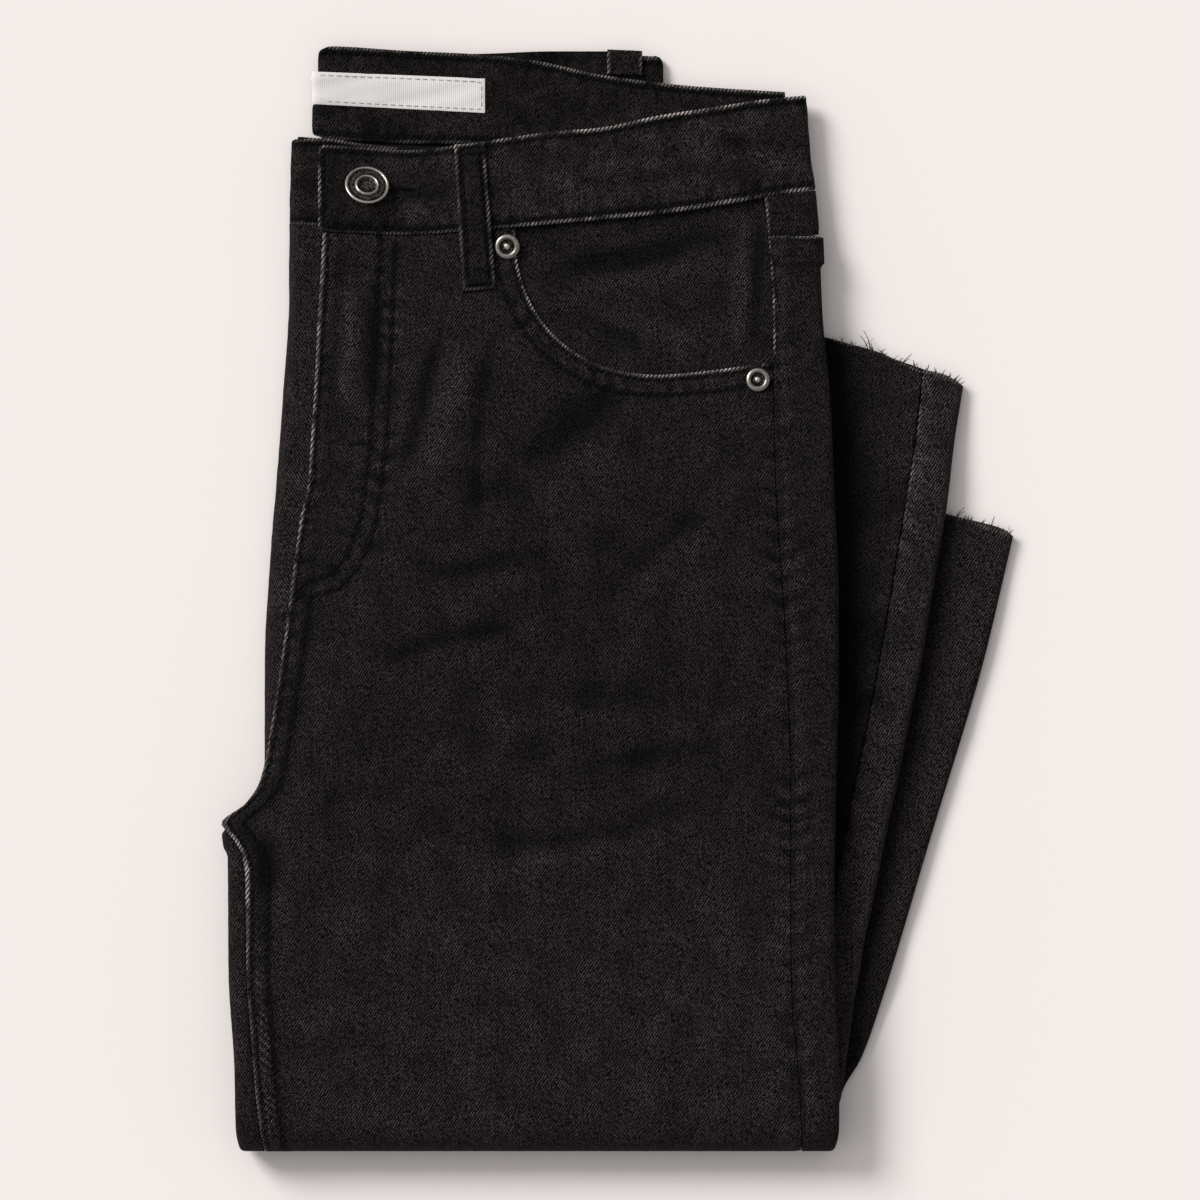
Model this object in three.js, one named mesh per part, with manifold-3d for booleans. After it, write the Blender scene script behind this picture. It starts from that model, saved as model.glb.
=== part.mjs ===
// Straight leg jeans in black denim, folded in half down the centre with the fronts outside,
// then turned up across the legs and laid on a flat surface with the left front on top.
// Millimetres, +Z up, the surface at z = 0.
//
// Each piece is laid out in cloth coordinates and folded into place by place():
//   x  across the garment as seen from above
//   t  along the legs, 0 where the bottom fold begins, negative towards the waist
//   w  depth into the stack, 0 on the outer face of the left leg
import * as THREE from 'three';
import Module from 'manifold-3d';
import { mergeVertices } from 'three/addons/utils/BufferGeometryUtils.js';

const wasm = await Module();
wasm.setup();

// Cloth and stack
const CLOTH = 1.2;
const BAND = 2.1;
const GAP = 0.3;
const LEG = 5.0;
const LAYER = LEG + GAP;
const STACK = LEG + LAYER;
const FOLD_CLEARANCE = 0.45;
const FOLD_RADIUS = STACK + FOLD_CLEARANCE;
const FOLD_Y = -210.4;
const FOLD_LENGTH = 16;
const SEAM_GAP = 0.4;

// How far the cloth takes to sink from the lower legs to the surface
const SINK_START = 3;
const SINK_LEFT_LEG = 56;
const SINK_RIGHT_LEG = 60;

// Details
const HOOK = 12;
const RIBBON = 10;
const RIBBON_RAISE = 0.6;
const FLY_RAISE = 0.4;
const YOKE_SEAM_TOP = 142.8;
const YOKE_SEAM_WIDTH = 9.6;
const YOKE_SEAM_RAISE = 0.8;
const YOKE_SEAM_BULGE = 1.6;
const BAND_RAISE = 0.9;
const BUTTON_DIAMETER = 17.8;
const BUTTON_TILT = 33;
const RIVET_DIAMETER = 9.8;

const up = (y) => FOLD_Y - y;
const low = (y) => FOLD_LENGTH + y - FOLD_Y;
const lerp = (a, b, s) => a + (b - a) * s;
const clamp = (s) => Math.min(1, Math.max(0, s));
const smooth = (s) => clamp(s) * clamp(s) * (3 - 2 * clamp(s));
const spread = (count) => Array.from({ length: count + 1 }, (_, k) => k / count);

// A smooth track through table rows that never overshoots them
function track(rows, at, key) {
  const step = (k) => rows[k + 1][at] - rows[k][at];
  const slope = (k) => (rows[k + 1][key] - rows[k][key]) / step(k);
  const last = rows.length - 1;
  const tangent = rows.map((_, k) => {
    if (k === 0 || k === last) return slope(Math.min(k, last - 1));
    const before = slope(k - 1);
    const after = slope(k);
    return before * after <= 0 ? 0 : (2 * before * after) / (before + after);
  });
  return (value) => {
    const s = Math.min(rows[last][at], Math.max(rows[0][at], value));
    let k = 0;
    while (k < last - 1 && s > rows[k + 1][at]) k += 1;
    const h = step(k);
    const u = (s - rows[k][at]) / h;
    const base = lerp(rows[k][key], rows[k + 1][key], u * u * (3 - 2 * u));
    return base + h * u * (1 - u) * ((1 - u) * tangent[k] - u * tangent[k + 1]);
  };
}

// Left outline of both halves, down to the inseam of the left leg and back up under the fold
const LEFT_OUTLINE = [
  { t: up(184), x: -130.4 }, { t: up(150), x: -131.2 }, { t: up(119), x: -131.4 },
  { t: up(87), x: -133.4 }, { t: up(47), x: -136.4 }, { t: up(15), x: -139.0 },
  { t: up(-26), x: -141.1 }, { t: up(-66), x: -141.1 }, { t: up(-74), x: -143.2 },
  { t: up(-82), x: -148.6 }, { t: up(-90), x: -158.2 }, { t: up(-99), x: -157.7 },
  { t: up(-103), x: -155.8 }, { t: up(-150), x: -155.3 }, { t: up(-188), x: -152.9 },
  { t: 0, x: -152.4 }, { t: FOLD_LENGTH / 2, x: -148.0 }, { t: FOLD_LENGTH, x: -152.0 },
  { t: FOLD_LENGTH + 10, x: -148.3 }, { t: low(86.8), x: -40.0 },
];

// Left edge of the left front: fly edge, crotch point, inseam
const FRONT_EDGE = [
  { t: up(149), x: -117.6 }, { t: up(129), x: -118.4 }, { t: up(110), x: -119.6 },
  { t: up(91), x: -120.6 }, { t: up(67), x: -122.2 }, { t: up(47), x: -123.6 },
  { t: up(31), x: -126.8 }, { t: up(-1), x: -131.0 }, { t: up(-30), x: -135.0 },
  { t: up(-55), x: -139.0 }, { t: up(-65), x: -140.7 }, { t: up(-74), x: -143.2 },
  { t: up(-82), x: -148.6 }, { t: up(-90), x: -158.2 }, { t: up(-93), x: -156.2 },
  { t: up(-97), x: -152.9 }, { t: up(-102), x: -150.2 }, { t: up(-110), x: -148.6 },
  { t: up(-150), x: -148.0 }, { t: up(-172), x: -146.4 }, { t: up(-193), x: -144.8 },
  { t: 0, x: -142.8 }, { t: FOLD_LENGTH / 2, x: -140.6 }, { t: FOLD_LENGTH, x: -142.0 },
  { t: FOLD_LENGTH + 10, x: -138.3 }, { t: low(86.8), x: -30.0 },
];

// Right outline and side seam of the left leg
const LEFT_LEG = [
  { t: up(201), right: 75.9, seam: 57.0 }, { t: up(177), right: 77.6, seam: 58.5 },
  { t: up(164), right: 79.4, seam: 59.0 }, { t: up(149), right: 80.8, seam: 60.2 },
  { t: up(114), right: 82.2, seam: 62.3 }, { t: up(79), right: 85.4, seam: 62.6 },
  { t: up(47), right: 86.7, seam: 63.3 }, { t: up(1), right: 88.6, seam: 66.3 },
  { t: up(-35), right: 88.6, seam: 68.2 }, { t: up(-72), right: 87.7, seam: 69.4 },
  { t: up(-118), right: 86.9, seam: 69.3 }, { t: up(-157), right: 87.3, seam: 69.8 },
  { t: up(-195), right: 88.9, seam: 72.9 }, { t: 0, right: 88.8, seam: 73.6 },
  { t: FOLD_LENGTH / 2, right: 87.4, seam: 73.8 }, { t: FOLD_LENGTH, right: 87.0, seam: 73.0 },
  { t: low(-196), right: 91.0, seam: 77.0 }, { t: low(-184), right: 98.0, seam: 84.0 },
  { t: low(-164), right: 105.2, seam: 91.2 }, { t: low(-95), right: 126.0, seam: 111.6 },
  { t: low(-25), right: 147.0, seam: 132.0 }, { t: low(5), right: 154.2, seam: 139.0 },
  { t: low(25), right: 158.8, seam: 143.4 },
];

// Left edge, right edge and side seam of the right leg
const RIGHT_LEG_LEFT = [
  ...LEFT_OUTLINE.slice(0, 8), { t: up(-80), x: -145.6 }, { t: up(-92), x: -151.0 },
  { t: up(-118), x: -152.0 }, { t: up(-188), x: -150.0 }, { t: 0, x: -149.4 },
  { t: FOLD_LENGTH, x: -149.4 }, { t: FOLD_LENGTH + 10, x: -146.8 }, { t: low(148), x: -54.0 },
];
const RIGHT_LEG = [
  { t: up(216), right: 18.4, seam: 2.4 }, { t: up(184), right: 33.0, seam: 16.0 },
  { t: up(147), right: 49.2, seam: 32.0 }, { t: up(113), right: 60.0, seam: 42.0 },
  { t: up(79), right: 69.2, seam: 51.0 }, { t: up(40), right: 75.0, seam: 56.5 },
  { t: up(0), right: 79.2, seam: 60.5 }, { t: up(-120), right: 83.2, seam: 66.0 },
  { t: up(-200), right: 85.2, seam: 69.0 }, { t: 0, right: 85.2, seam: 69.2 },
  { t: FOLD_LENGTH, right: 85.4, seam: 69.6 }, { t: low(-200), right: 89.6, seam: 73.4 },
  { t: low(-176), right: 93.0, seam: 76.6 }, { t: low(-149), right: 97.0, seam: 80.6 },
  { t: low(-108), right: 105.2, seam: 88.8 }, { t: low(-25), right: 122.0, seam: 105.6 },
  { t: low(5), right: 127.0, seam: 110.6 }, { t: low(34), right: 131.6, seam: 115.4 },
  { t: low(64), right: 135.4, seam: 120.0 }, { t: low(85), right: 138.8, seam: 122.4 },
];

// How far each hem's left corner lies beyond its right one
const LEFT_HEM = { right: 25, left: 86.8 };
const RIGHT_HEM = { right: 85, left: 148 };

const leftOutline = track(LEFT_OUTLINE, 't', 'x');
const frontEdge = track(FRONT_EDGE, 't', 'x');
const leftLegRight = track(LEFT_LEG, 't', 'right');
const leftLegSeam = track(LEFT_LEG, 't', 'seam');
const rightLegLeft = track(RIGHT_LEG_LEFT, 't', 'x');
const rightLegRight = track(RIGHT_LEG, 't', 'right');
const rightLegSeam = track(RIGHT_LEG, 't', 'seam');

// Upper and lower edges of each waistband, as seen from above
const FRONT_BAND = [
  { x: -119.6, top: 181.6, bottom: 147.0 }, { x: -99, top: 180.4, bottom: 145.8 },
  { x: -84, top: 179.4, bottom: 145.4 }, { x: -53, top: 183.0, bottom: 147.4 },
  { x: -26, top: 186.8, bottom: 149.8 }, { x: -7, top: 188.4, bottom: 151.6 },
  { x: 17, top: 193.3, bottom: 154.0 }, { x: 40, top: 196.8, bottom: 157.4 },
  { x: 64, top: 200.3, bottom: 161.6 }, { x: 80, top: 201.6, bottom: 163.7 },
];
const INNER_BACK_BAND = [
  { x: -122, top: 219.4, bottom: 185.6 }, { x: -117, top: 221.2, bottom: 184.8 },
  { x: -84, top: 219.3, bottom: 182.8 }, { x: -57, top: 218.0, bottom: 181.8 },
  { x: -33, top: 215.4, bottom: 179.6 }, { x: -7, top: 209.8, bottom: 174.0 },
  { x: 28, top: 205.4, bottom: 169.6 }, { x: 64, top: 203.0, bottom: 167.0 },
  { x: 80, top: 202.0, bottom: 166.4 },
];
const OUTER_BACK_BAND = [
  { x: -122, top: 218.0, bottom: 185.6 }, { x: -57, top: 218.2, bottom: 182.6 },
  { x: -26, top: 219.2, bottom: 183.4 }, { x: 2, top: 219.2, bottom: 183.8 },
  { x: 11, top: 217.9, bottom: 184.2 }, { x: 18, top: 215.2, bottom: 184.4 },
];
const RIGHT_BAND = [
  { x: -131, top: 183.6, bottom: 150.4 }, { x: -104, top: 182.2, bottom: 149.0 },
  { x: -86, top: 181.9, bottom: 148.8 }, { x: -50, top: 191.0, bottom: 157.6 },
  { x: 20, top: 212.6, bottom: 176.8 },
  { x: 35, top: 215.4, bottom: 179.6 },
];

// Soft creases of the left front: place, direction, length, width and height
const CREASES = [
  { x: -17, y: 65, angle: 38, length: 68, width: 14, height: -0.9 },
  { x: -53, y: 95, angle: 60, length: 55, width: 12, height: 0.6 },
  { x: 13, y: 18, angle: 60, length: 26, width: 10, height: -0.5 },
  { x: -59, y: -17, angle: 8, length: 90, width: 16, height: 0.5 },
  { x: -23, y: -53, angle: -6, length: 100, width: 18, height: 0.4 },
  { x: -95, y: -121, angle: 70, length: 80, width: 16, height: 0.4 },
  { x: 33, y: -89, angle: 100, length: 90, width: 20, height: 0.4 },
];

function edgeOf(table, x, key) {
  return track(table, 'x', key)(x);
}

// Distance beyond a lower leg's hem or its left edge, 0 over the leg
function beyond(x, y, hem, right, left) {
  const across = new THREE.Vector2(left.x - right.x, hem.left - hem.right);
  const along = new THREE.Vector2(left.x - left.foot, hem.left - FOLD_Y);
  const pastHem = ((y - hem.right) * -across.x + (x - right.x) * across.y) / across.length();
  const pastEdge = ((left.foot - x) * along.y + (y - FOLD_Y) * along.x) / along.length();
  const a = Math.max(0, pastHem);
  const b = Math.max(0, pastEdge);
  return Math.hypot(a, b);
}

function overLeftLeg(x, y) {
  const d = beyond(x, y, LEFT_HEM, { x: 158.8 }, { x: -40, foot: -152 });
  return 1 - smooth((d - SINK_START) / SINK_LEFT_LEG);
}

function overRightLeg(x, y) {
  const d = beyond(x, y, RIGHT_HEM, { x: 138.8 }, { x: -54, foot: -149.4 });
  return 1 - smooth((d - SINK_START) / SINK_RIGHT_LEG);
}

// Cloth coordinates to the folded garment
function place([x, t, w]) {
  if (t <= 0) {
    const y = FOLD_Y - t;
    const lift = LAYER * overLeftLeg(x, y) + (LEG + 2 * FOLD_CLEARANCE) * overRightLeg(x, y);
    return [x, y, STACK - w + lift];
  }
  if (t < FOLD_LENGTH) {
    const angle = (Math.PI * t) / FOLD_LENGTH;
    const r = FOLD_RADIUS - w;
    return [x, FOLD_Y - r * Math.sin(angle), FOLD_RADIUS + r * Math.cos(angle)];
  }
  const y = FOLD_Y + t - FOLD_LENGTH;
  const sink = w > LEG + GAP / 2 ? LAYER * (1 - overLeftLeg(x, y)) : 0;
  return [x, y, w - sink];
}

// Height of the left front over its flat cloth: creases, felled inseam and fly facing
function frontRelief(x, t) {
  if (t > 0) return 0;
  const y = FOLD_Y - t;
  let height = 0;
  for (const crease of CREASES) {
    const angle = (crease.angle * Math.PI) / 180;
    const dx = x - crease.x;
    const dy = y - crease.y;
    const along = (dx * Math.cos(angle) + dy * Math.sin(angle)) / (crease.length / 2);
    const over = (dy * Math.cos(angle) - dx * Math.sin(angle)) / (crease.width / 2);
    height += crease.height * Math.exp(-along * along - over * over);
  }
  return height * smooth((x - frontEdge(t)) / 20) * smooth((leftLegSeam(t) - x) / 20) * smooth(-t / 40);
}

function look(color, roughness = 0.9, metalness = 0) {
  return new THREE.MeshStandardMaterial({ color, roughness, metalness });
}
const DENIM = look(0x242122);
const DENIM_WORN = look(0x3a3738);
const LABEL_CLOTH = look(0xe4e2dc, 0.8);
const METAL = look(0x8f8a80, 0.35, 1);
const THREAD = look(0x4a4644);

const jeans = new THREE.Group();

function addMesh(name, geometry, material) {
  geometry.computeVertexNormals();
  const mesh = new THREE.Mesh(geometry, material.clone());
  mesh.name = name;
  jeans.add(mesh);
  return mesh;
}

function turnOutward(positions, index) {
  let volume = 0;
  const corner = (k) => new THREE.Vector3().fromArray(positions, 3 * index[k]);
  for (let k = 0; k < index.length; k += 3) {
    volume += corner(k).dot(corner(k + 1).cross(corner(k + 2)));
  }
  if (volume < 0) index.reverse();
}

// A closed wall between an outer and an inner grid of points in cloth coordinates
function wallGeometry(outer, inner) {
  const rows = outer.length;
  const cols = outer[0].length;
  const positions = [...outer.flat(), ...inner.flat()].flatMap(place);
  const index = [];
  const at = (side, i, j) => (side * rows + i) * cols + j;
  const quad = (a, b, c, d) => index.push(a, b, c, a, c, d);
  for (let i = 0; i < rows - 1; i += 1) {
    for (let j = 0; j < cols - 1; j += 1) {
      quad(at(0, i, j), at(0, i + 1, j), at(0, i + 1, j + 1), at(0, i, j + 1));
      quad(at(1, i, j), at(1, i, j + 1), at(1, i + 1, j + 1), at(1, i + 1, j));
    }
    quad(at(0, i, 0), at(1, i, 0), at(1, i + 1, 0), at(0, i + 1, 0));
    quad(at(0, i, cols - 1), at(0, i + 1, cols - 1), at(1, i + 1, cols - 1), at(1, i, cols - 1));
  }
  for (let j = 0; j < cols - 1; j += 1) {
    quad(at(0, 0, j), at(0, 0, j + 1), at(1, 0, j + 1), at(1, 0, j));
    quad(at(0, rows - 1, j), at(1, rows - 1, j), at(1, rows - 1, j + 1), at(0, rows - 1, j + 1));
  }
  turnOutward(positions, index);
  const geometry = new THREE.BufferGeometry();
  geometry.setAttribute('position', new THREE.Float32BufferAttribute(positions, 3));
  geometry.setIndex(index);
  return geometry;
}

// Section helpers in the (x, w) plane
function straight(x0, x1, w, steps) {
  return spread(steps).map((s) => [lerp(x0, x1, s), w]);
}

function turn(edge, side, w0, w1, steps = 4) {
  const r = Math.abs(w1 - w0) / 2;
  return spread(steps).map((s) => [
    edge - side * r + side * r * Math.sin(Math.PI * s),
    (w0 + w1) / 2 + ((w0 - w1) / 2) * Math.cos(Math.PI * s),
  ]);
}

function join(...parts) {
  return parts.flatMap((part, k) => (k === 0 ? part : part.slice(1)));
}

// The section moved to its left by a thickness, or to its right if that is negative
function offset(section, thickness) {
  return section.map((_, k) => {
    const before = section[Math.max(0, k - 1)];
    const after = section[Math.min(section.length - 1, k + 1)];
    const length = Math.hypot(after[0] - before[0], after[1] - before[1]);
    const nx = -(after[1] - before[1]) / length;
    const nw = (after[0] - before[0]) / length;
    return [section[k][0] + thickness * nx, section[k][1] + thickness * nw];
  });
}

// A wall lofted through rows; each row gives its section, and t for any x of it
function loft(rows, sectionOf, thickness) {
  const outer = [];
  const inner = [];
  for (const row of rows) {
    const section = sectionOf(row);
    const back = offset(section, thickness);
    outer.push(section.map(([x, w]) => [x, row.at(x), w]));
    inner.push(back.map(([x, w], k) => [x, row.at(section[k][0]), w]));
  }
  return wallGeometry(outer, inner);
}

// Rows of a leg: each runs from a left end at t = left to a right end at t = right
function legRow(left, right, leftEdge, rightEdge) {
  const x0 = leftEdge(left);
  const x1 = rightEdge(right);
  return { left, right, at: (x) => lerp(left, right, clamp((x - x0) / (x1 - x0))) };
}

function slanted(y, hem) {
  const share = (y - FOLD_Y) / (hem.right - FOLD_Y);
  return y + (hem.left - hem.right) * share;
}

function legRows(upper, lower, hem, foldSteps, leftEdge, rightEdge) {
  const rows = upper.map(([left, right]) => legRow(up(left), up(right), leftEdge, rightEdge));
  for (const s of spread(foldSteps)) {
    rows.push(legRow(FOLD_LENGTH * s, FOLD_LENGTH * s, leftEdge, rightEdge));
  }
  for (const y of lower) {
    rows.push(legRow(low(slanted(y, hem)), low(y), leftEdge, rightEdge));
  }
  return rows;
}

const level = (ys) => ys.map((y) => [y, y]);

const THIGH = [80, 68, 56, 44, 32, 18, 3, -14, -32, -50];
const CROTCH = [-66, -75, -82, -86, -90, -93, -97, -103, -112];
const KNEE = [-130, -150, -170, -188, -202];
const LEFT_LOWER = [-204, -196, -184, -164, -95, -25, 5, LEFT_HEM.right];
const RIGHT_LOWER = [-200, -176, -149, -108, -66, -25, 5, 20, 33, 46, 59, 72, RIGHT_HEM.right];
const FOLD_STEPS = 8;

// Left front: from the waistband and the pocket edge down, round the fold and under the lower leg
const POCKET = { left: -40.8, low: 17.2, top: 148.4, bottom: 89.4, power: 2.2, rise: 5.2 };

function pocketEdge(x) {
  if (x <= POCKET.left) return edgeOf(FRONT_BAND, x, 'bottom') - SEAM_GAP;
  if (x >= POCKET.low) return POCKET.bottom + POCKET.rise * clamp((x - POCKET.low) / 44) ** 1.4;
  const share = (POCKET.low - x) / (POCKET.low - POCKET.left);
  const drop = (1 - share ** POCKET.power) ** (1 / POCKET.power);
  return POCKET.top - (POCKET.top - POCKET.bottom) * drop;
}

function flyWidth(t) {
  const y = FOLD_Y - t;
  return lerp(RIBBON, 25, smooth((y - 2) / 34));
}

function frontColumns(t) {
  const edge = frontEdge(t);
  const width = flyWidth(t);
  const seam = leftLegSeam(t) - SEAM_GAP / 2;
  const from = edge + width + 1.5;
  const columns = [edge, edge + 1.5, edge + width];
  const held = Math.max(t, up(80));
  const start = frontEdge(held) + flyWidth(held) + 1.5;
  const end = leftLegSeam(held) - SEAM_GAP / 2;
  const pocket = spread(7).map((s) => {
    const turned = Math.cos((Math.PI / 2) * s) ** (2 / POCKET.power);
    return POCKET.low - (POCKET.low - POCKET.left) * turned;
  });
  const reference = [-75, -58, POCKET.left - 0.4, ...pocket, 38];
  const atEnd = frontEdge(up(80)) + flyWidth(up(80)) + 1.5;
  const seamEnd = leftLegSeam(up(80)) - SEAM_GAP / 2;
  columns.push(from);
  for (const x of reference) columns.push(lerp(start, end, (x - atEnd) / (seamEnd - atEnd)));
  columns.push(seam);
  return columns;
}

function frontRaise(k, t) {
  if (k > 2) return 0;
  const y = FOLD_Y - t;
  const amount = lerp(RIBBON_RAISE, FLY_RAISE, smooth((y + 20) / 40)) * smooth(1 - t / 10);
  return k === 0 ? amount * 0.4 : amount;
}

function leftFront() {
  const outer = [];
  const inner = [];
  const put = (ts, columns) => {
    outer.push(columns.map((x, k) => [x, ts[k], -frontRelief(x, ts[k]) - frontRaise(k, ts[k])]));
    inner.push(columns.map((x, k) => [x, ts[k], CLOTH - frontRelief(x, ts[k])]));
  };
  const blockSteps = 6;
  for (const s of spread(blockSteps).slice(0, blockSteps)) {
    const nominal = frontColumns(up(lerp(147, THIGH[0], s)));
    const ts = nominal.map((x) => up(lerp(pocketEdge(x), THIGH[0], s)));
    put(ts, nominal.map((x, k) => (k < 3 || k === nominal.length - 1 ? frontColumns(ts[k])[k] : x)));
  }
  const rows = legRows(level([...THIGH, ...CROTCH, ...KNEE]), LEFT_LOWER, LEFT_HEM, FOLD_STEPS,
    leftOutline, leftLegRight);
  for (const row of rows) {
    const left = frontColumns(row.left);
    const right = frontColumns(row.right);
    const columns = left.map((x, k) => lerp(x, right[k], k / (left.length - 1)));
    put(columns.map((x) => row.at(x)), columns);
  }
  addMesh('left_front', wallGeometry(outer, inner), DENIM);
}

// Left back round the side: strip beside the seam, turned under, and the top of the lower leg
function leftBackSection(row, raise, bulge) {
  const seam = leftLegSeam(row.right) + SEAM_GAP / 2;
  const right = leftLegRight(row.right) + bulge;
  const share = smooth((row.right - FOLD_LENGTH) / 150);
  const end = right - lerp(HOOK, 46, share);
  const radius = (LEG + raise) / 2;
  return join(straight(seam, right - radius, -raise, 2), turn(right, 1, -raise, LEG, 5),
    straight(right - radius, end, LEG, 1));
}

function leftBack() {
  const seamRows = [
    { y: YOKE_SEAM_TOP, raise: 0.3, bulge: 0 },
    { y: YOKE_SEAM_TOP - 1.2, raise: YOKE_SEAM_RAISE, bulge: YOKE_SEAM_BULGE },
    { y: YOKE_SEAM_TOP - YOKE_SEAM_WIDTH, raise: YOKE_SEAM_RAISE, bulge: YOKE_SEAM_BULGE },
    { y: YOKE_SEAM_TOP - YOKE_SEAM_WIDTH - 1.2, raise: 0, bulge: 0 },
    { y: 120, raise: 0, bulge: 0 }, { y: 108, raise: 0, bulge: 0 }, { y: 94, raise: 0, bulge: 0 },
  ];
  const plain = [...THIGH, -75, -103, ...KNEE].map((y) => ({ y, raise: 0, bulge: 0 }));
  const all = [...seamRows, ...plain];
  const rows = legRows(level(all.map((row) => row.y)), LEFT_LOWER, LEFT_HEM, FOLD_STEPS,
    leftOutline, leftLegRight);
  const section = (row) => {
    const shape = all[rows.indexOf(row)] ?? { raise: 0, bulge: 0 };
    return leftBackSection(row, shape.raise, shape.bulge);
  };
  addMesh('left_back', loft(rows, section, CLOTH), DENIM);
}

function leftYoke() {
  const foot = YOKE_SEAM_TOP + SEAM_GAP;
  const rows = spread(2).map((s) => {
    const y = (x) => lerp(edgeOf(FRONT_BAND, x, 'bottom') - SEAM_GAP, foot, s);
    return { right: up(y(80)), at: (x) => up(y(x)) };
  });
  const section = (row) => leftBackSection(row, 0, 0);
  addMesh('left_yoke', loft(rows, section, CLOTH), DENIM);
}

function leftBackInseam() {
  const rows = legRows(level([-94.5, -98, -103, -112, ...KNEE]), LEFT_LOWER, LEFT_HEM, FOLD_STEPS,
    leftOutline, leftLegRight);
  const section = (row) => {
    const start = frontEdge(row.left) - SEAM_GAP;
    const edge = Math.min(leftOutline(row.left), start - LEG / 2 - 0.2);
    return join(straight(start, edge + LEG / 2, 0, 1), turn(edge, -1, 0, LEG, 5),
      straight(edge + LEG / 2, edge + HOOK, LEG, 2));
  };
  addMesh('left_back_inseam', loft(rows, section, -CLOTH), DENIM);
}

// Rows of the right leg: the first ones follow the waistband above them
function rightRows() {
  const levels = level([128, 116, 104, 92, ...THIGH, -66, -72, -78, -84, -93, -103, -112, ...KNEE]);
  const rows = legRows(levels, RIGHT_LOWER, RIGHT_HEM, 6, rightLegLeft, rightLegRight);
  const block = spread(4).slice(0, 4).map((s) => {
    const at = (x) => up(lerp(edgeOf(RIGHT_BAND, x, 'bottom') - SEAM_GAP, levels[0][0], s));
    return { left: at(-131), right: at(35), at };
  });
  return [...block, ...rows];
}

// Right front: strip left of the fly, turned round the left edge, under the stack to the side
// seam, round the inside of the bottom fold and over the right lower leg
function rightFront() {
  const section = (row) => {
    const closing = smooth((row.left - up(-66)) / 20);
    const edge = rightLegLeft(row.left);
    const top = lerp(CLOTH + GAP + 0.1, LAYER, closing);
    const end = rightLegSeam(row.right) - SEAM_GAP / 2;
    const start = lerp(Math.max(frontEdge(row.left) + 8, edge + 6), edge + HOOK, closing);
    const radius = (STACK - top) / 2;
    return join(straight(start, edge + radius, top, 2), turn(edge, -1, top, STACK, 6),
      straight(edge + radius, end, STACK, 11));
  };
  addMesh('right_front', loft(rightRows(), section, -CLOTH), DENIM);
}

// Right back round the side; under the hem it reaches right across the leg
function rightBack() {
  const wideFrom = low(LEFT_HEM.right + 14);
  const section = (row) => {
    const seam = rightLegSeam(row.right) + SEAM_GAP / 2;
    const right = rightLegRight(row.right);
    const wide = row.right > wideFrom;
    const end = wide ? rightLegLeft(row.left) + HOOK + 2 : right - HOOK;
    return join(straight(seam, right - LEG / 2, STACK, 1), turn(right, 1, STACK, LAYER, 5),
      straight(right - LEG / 2, end, LAYER, 4));
  };
  addMesh('right_back', loft(rightRows(), section, -CLOTH), DENIM);
}

// Both backs where nothing shows of them, as one rounded solid
function hiddenLayers() {
  const bottom = 7.5;
  const startOf = (x) => edgeOf(INNER_BACK_BAND, x, 'bottom') - 0.7;
  const rows = [];
  for (const s of spread(4).slice(0, 4)) {
    rows.push({ left: up(lerp(183, 128, s)), right: up(lerp(168, 128, s)),
      at: (x) => up(lerp(startOf(x), 128, s)), ends: s === 0 });
  }
  const upper = level([128, 112, 96, 80, 62, 44, 24, 0, -25, -50, -75, -103, ...KNEE]);
  const last = LEFT_HEM.right - 8;
  rows.push(...legRows(upper, [...LEFT_LOWER.slice(0, -1), last - 4, last], LEFT_HEM, FOLD_STEPS,
    leftOutline, leftLegRight));
  rows[rows.length - 1].ends = true;
  const outer = [];
  const inner = [];
  for (const row of rows) {
    const lowerShare = smooth((row.right - FOLD_LENGTH) / 150);
    const leftInset = lerp(2.6, HOOK + 1.6, smooth((row.left - up(-50)) / 16));
    const left = Math.max(leftOutline(row.left), rightLegLeft(row.left)) + leftInset;
    const fromLeftLeg = leftLegRight(row.right) - lerp(HOOK, 46, lowerShare);
    const right = Math.min(fromLeftLeg, rightLegRight(row.right) - HOOK) - 1.2;
    const top = row.left < up(140) ? 4.4 : 3.5;
    const middle = (top + bottom) / 2;
    const depth = row.ends ? 1 : (bottom - top) / 2;
    const xs = [left, left + 1.2, ...spread(8).slice(1, 8).map((s) => lerp(left, right, s)),
      right - 1.2, right];
    const depthAt = (k) => (k === 0 || k === xs.length - 1 ? Math.min(depth, 1) : depth);
    outer.push(xs.map((x, k) => [x, row.at(x), middle - depthAt(k)]));
    inner.push(xs.map((x, k) => [x, row.at(x), middle + depthAt(k)]));
  }
  addMesh('hidden_layers', wallGeometry(outer, inner), DENIM);
}

function pocketFacing() {
  const depth = 1.9;
  const xs = [-46, -38, -28, -16, -4, 8, 20, 35, 50, 66];
  const outer = [];
  const inner = [];
  for (const s of spread(6)) {
    const ts = xs.map((x) => {
      const foot = Math.min(pocketEdge(x), 140) - 7;
      return up(lerp(edgeOf(FRONT_BAND, x, 'bottom') - SEAM_GAP, foot, s));
    });
    outer.push(xs.map((x, k) => [x, ts[k], depth]));
    inner.push(xs.map((x, k) => [x, ts[k], depth + 1.1]));
  }
  addMesh('pocket_facing', wallGeometry(outer, inner), DENIM);
}

// Waistbands: rows run from the upper edge to the lower one
function bandRow(table, s) {
  return { s, at: (x) => up(lerp(edgeOf(table, x, 'top'), edgeOf(table, x, 'bottom'), s)) };
}

function bandRows(table) {
  return spread(3).map((s) => bandRow(table, s));
}

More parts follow.
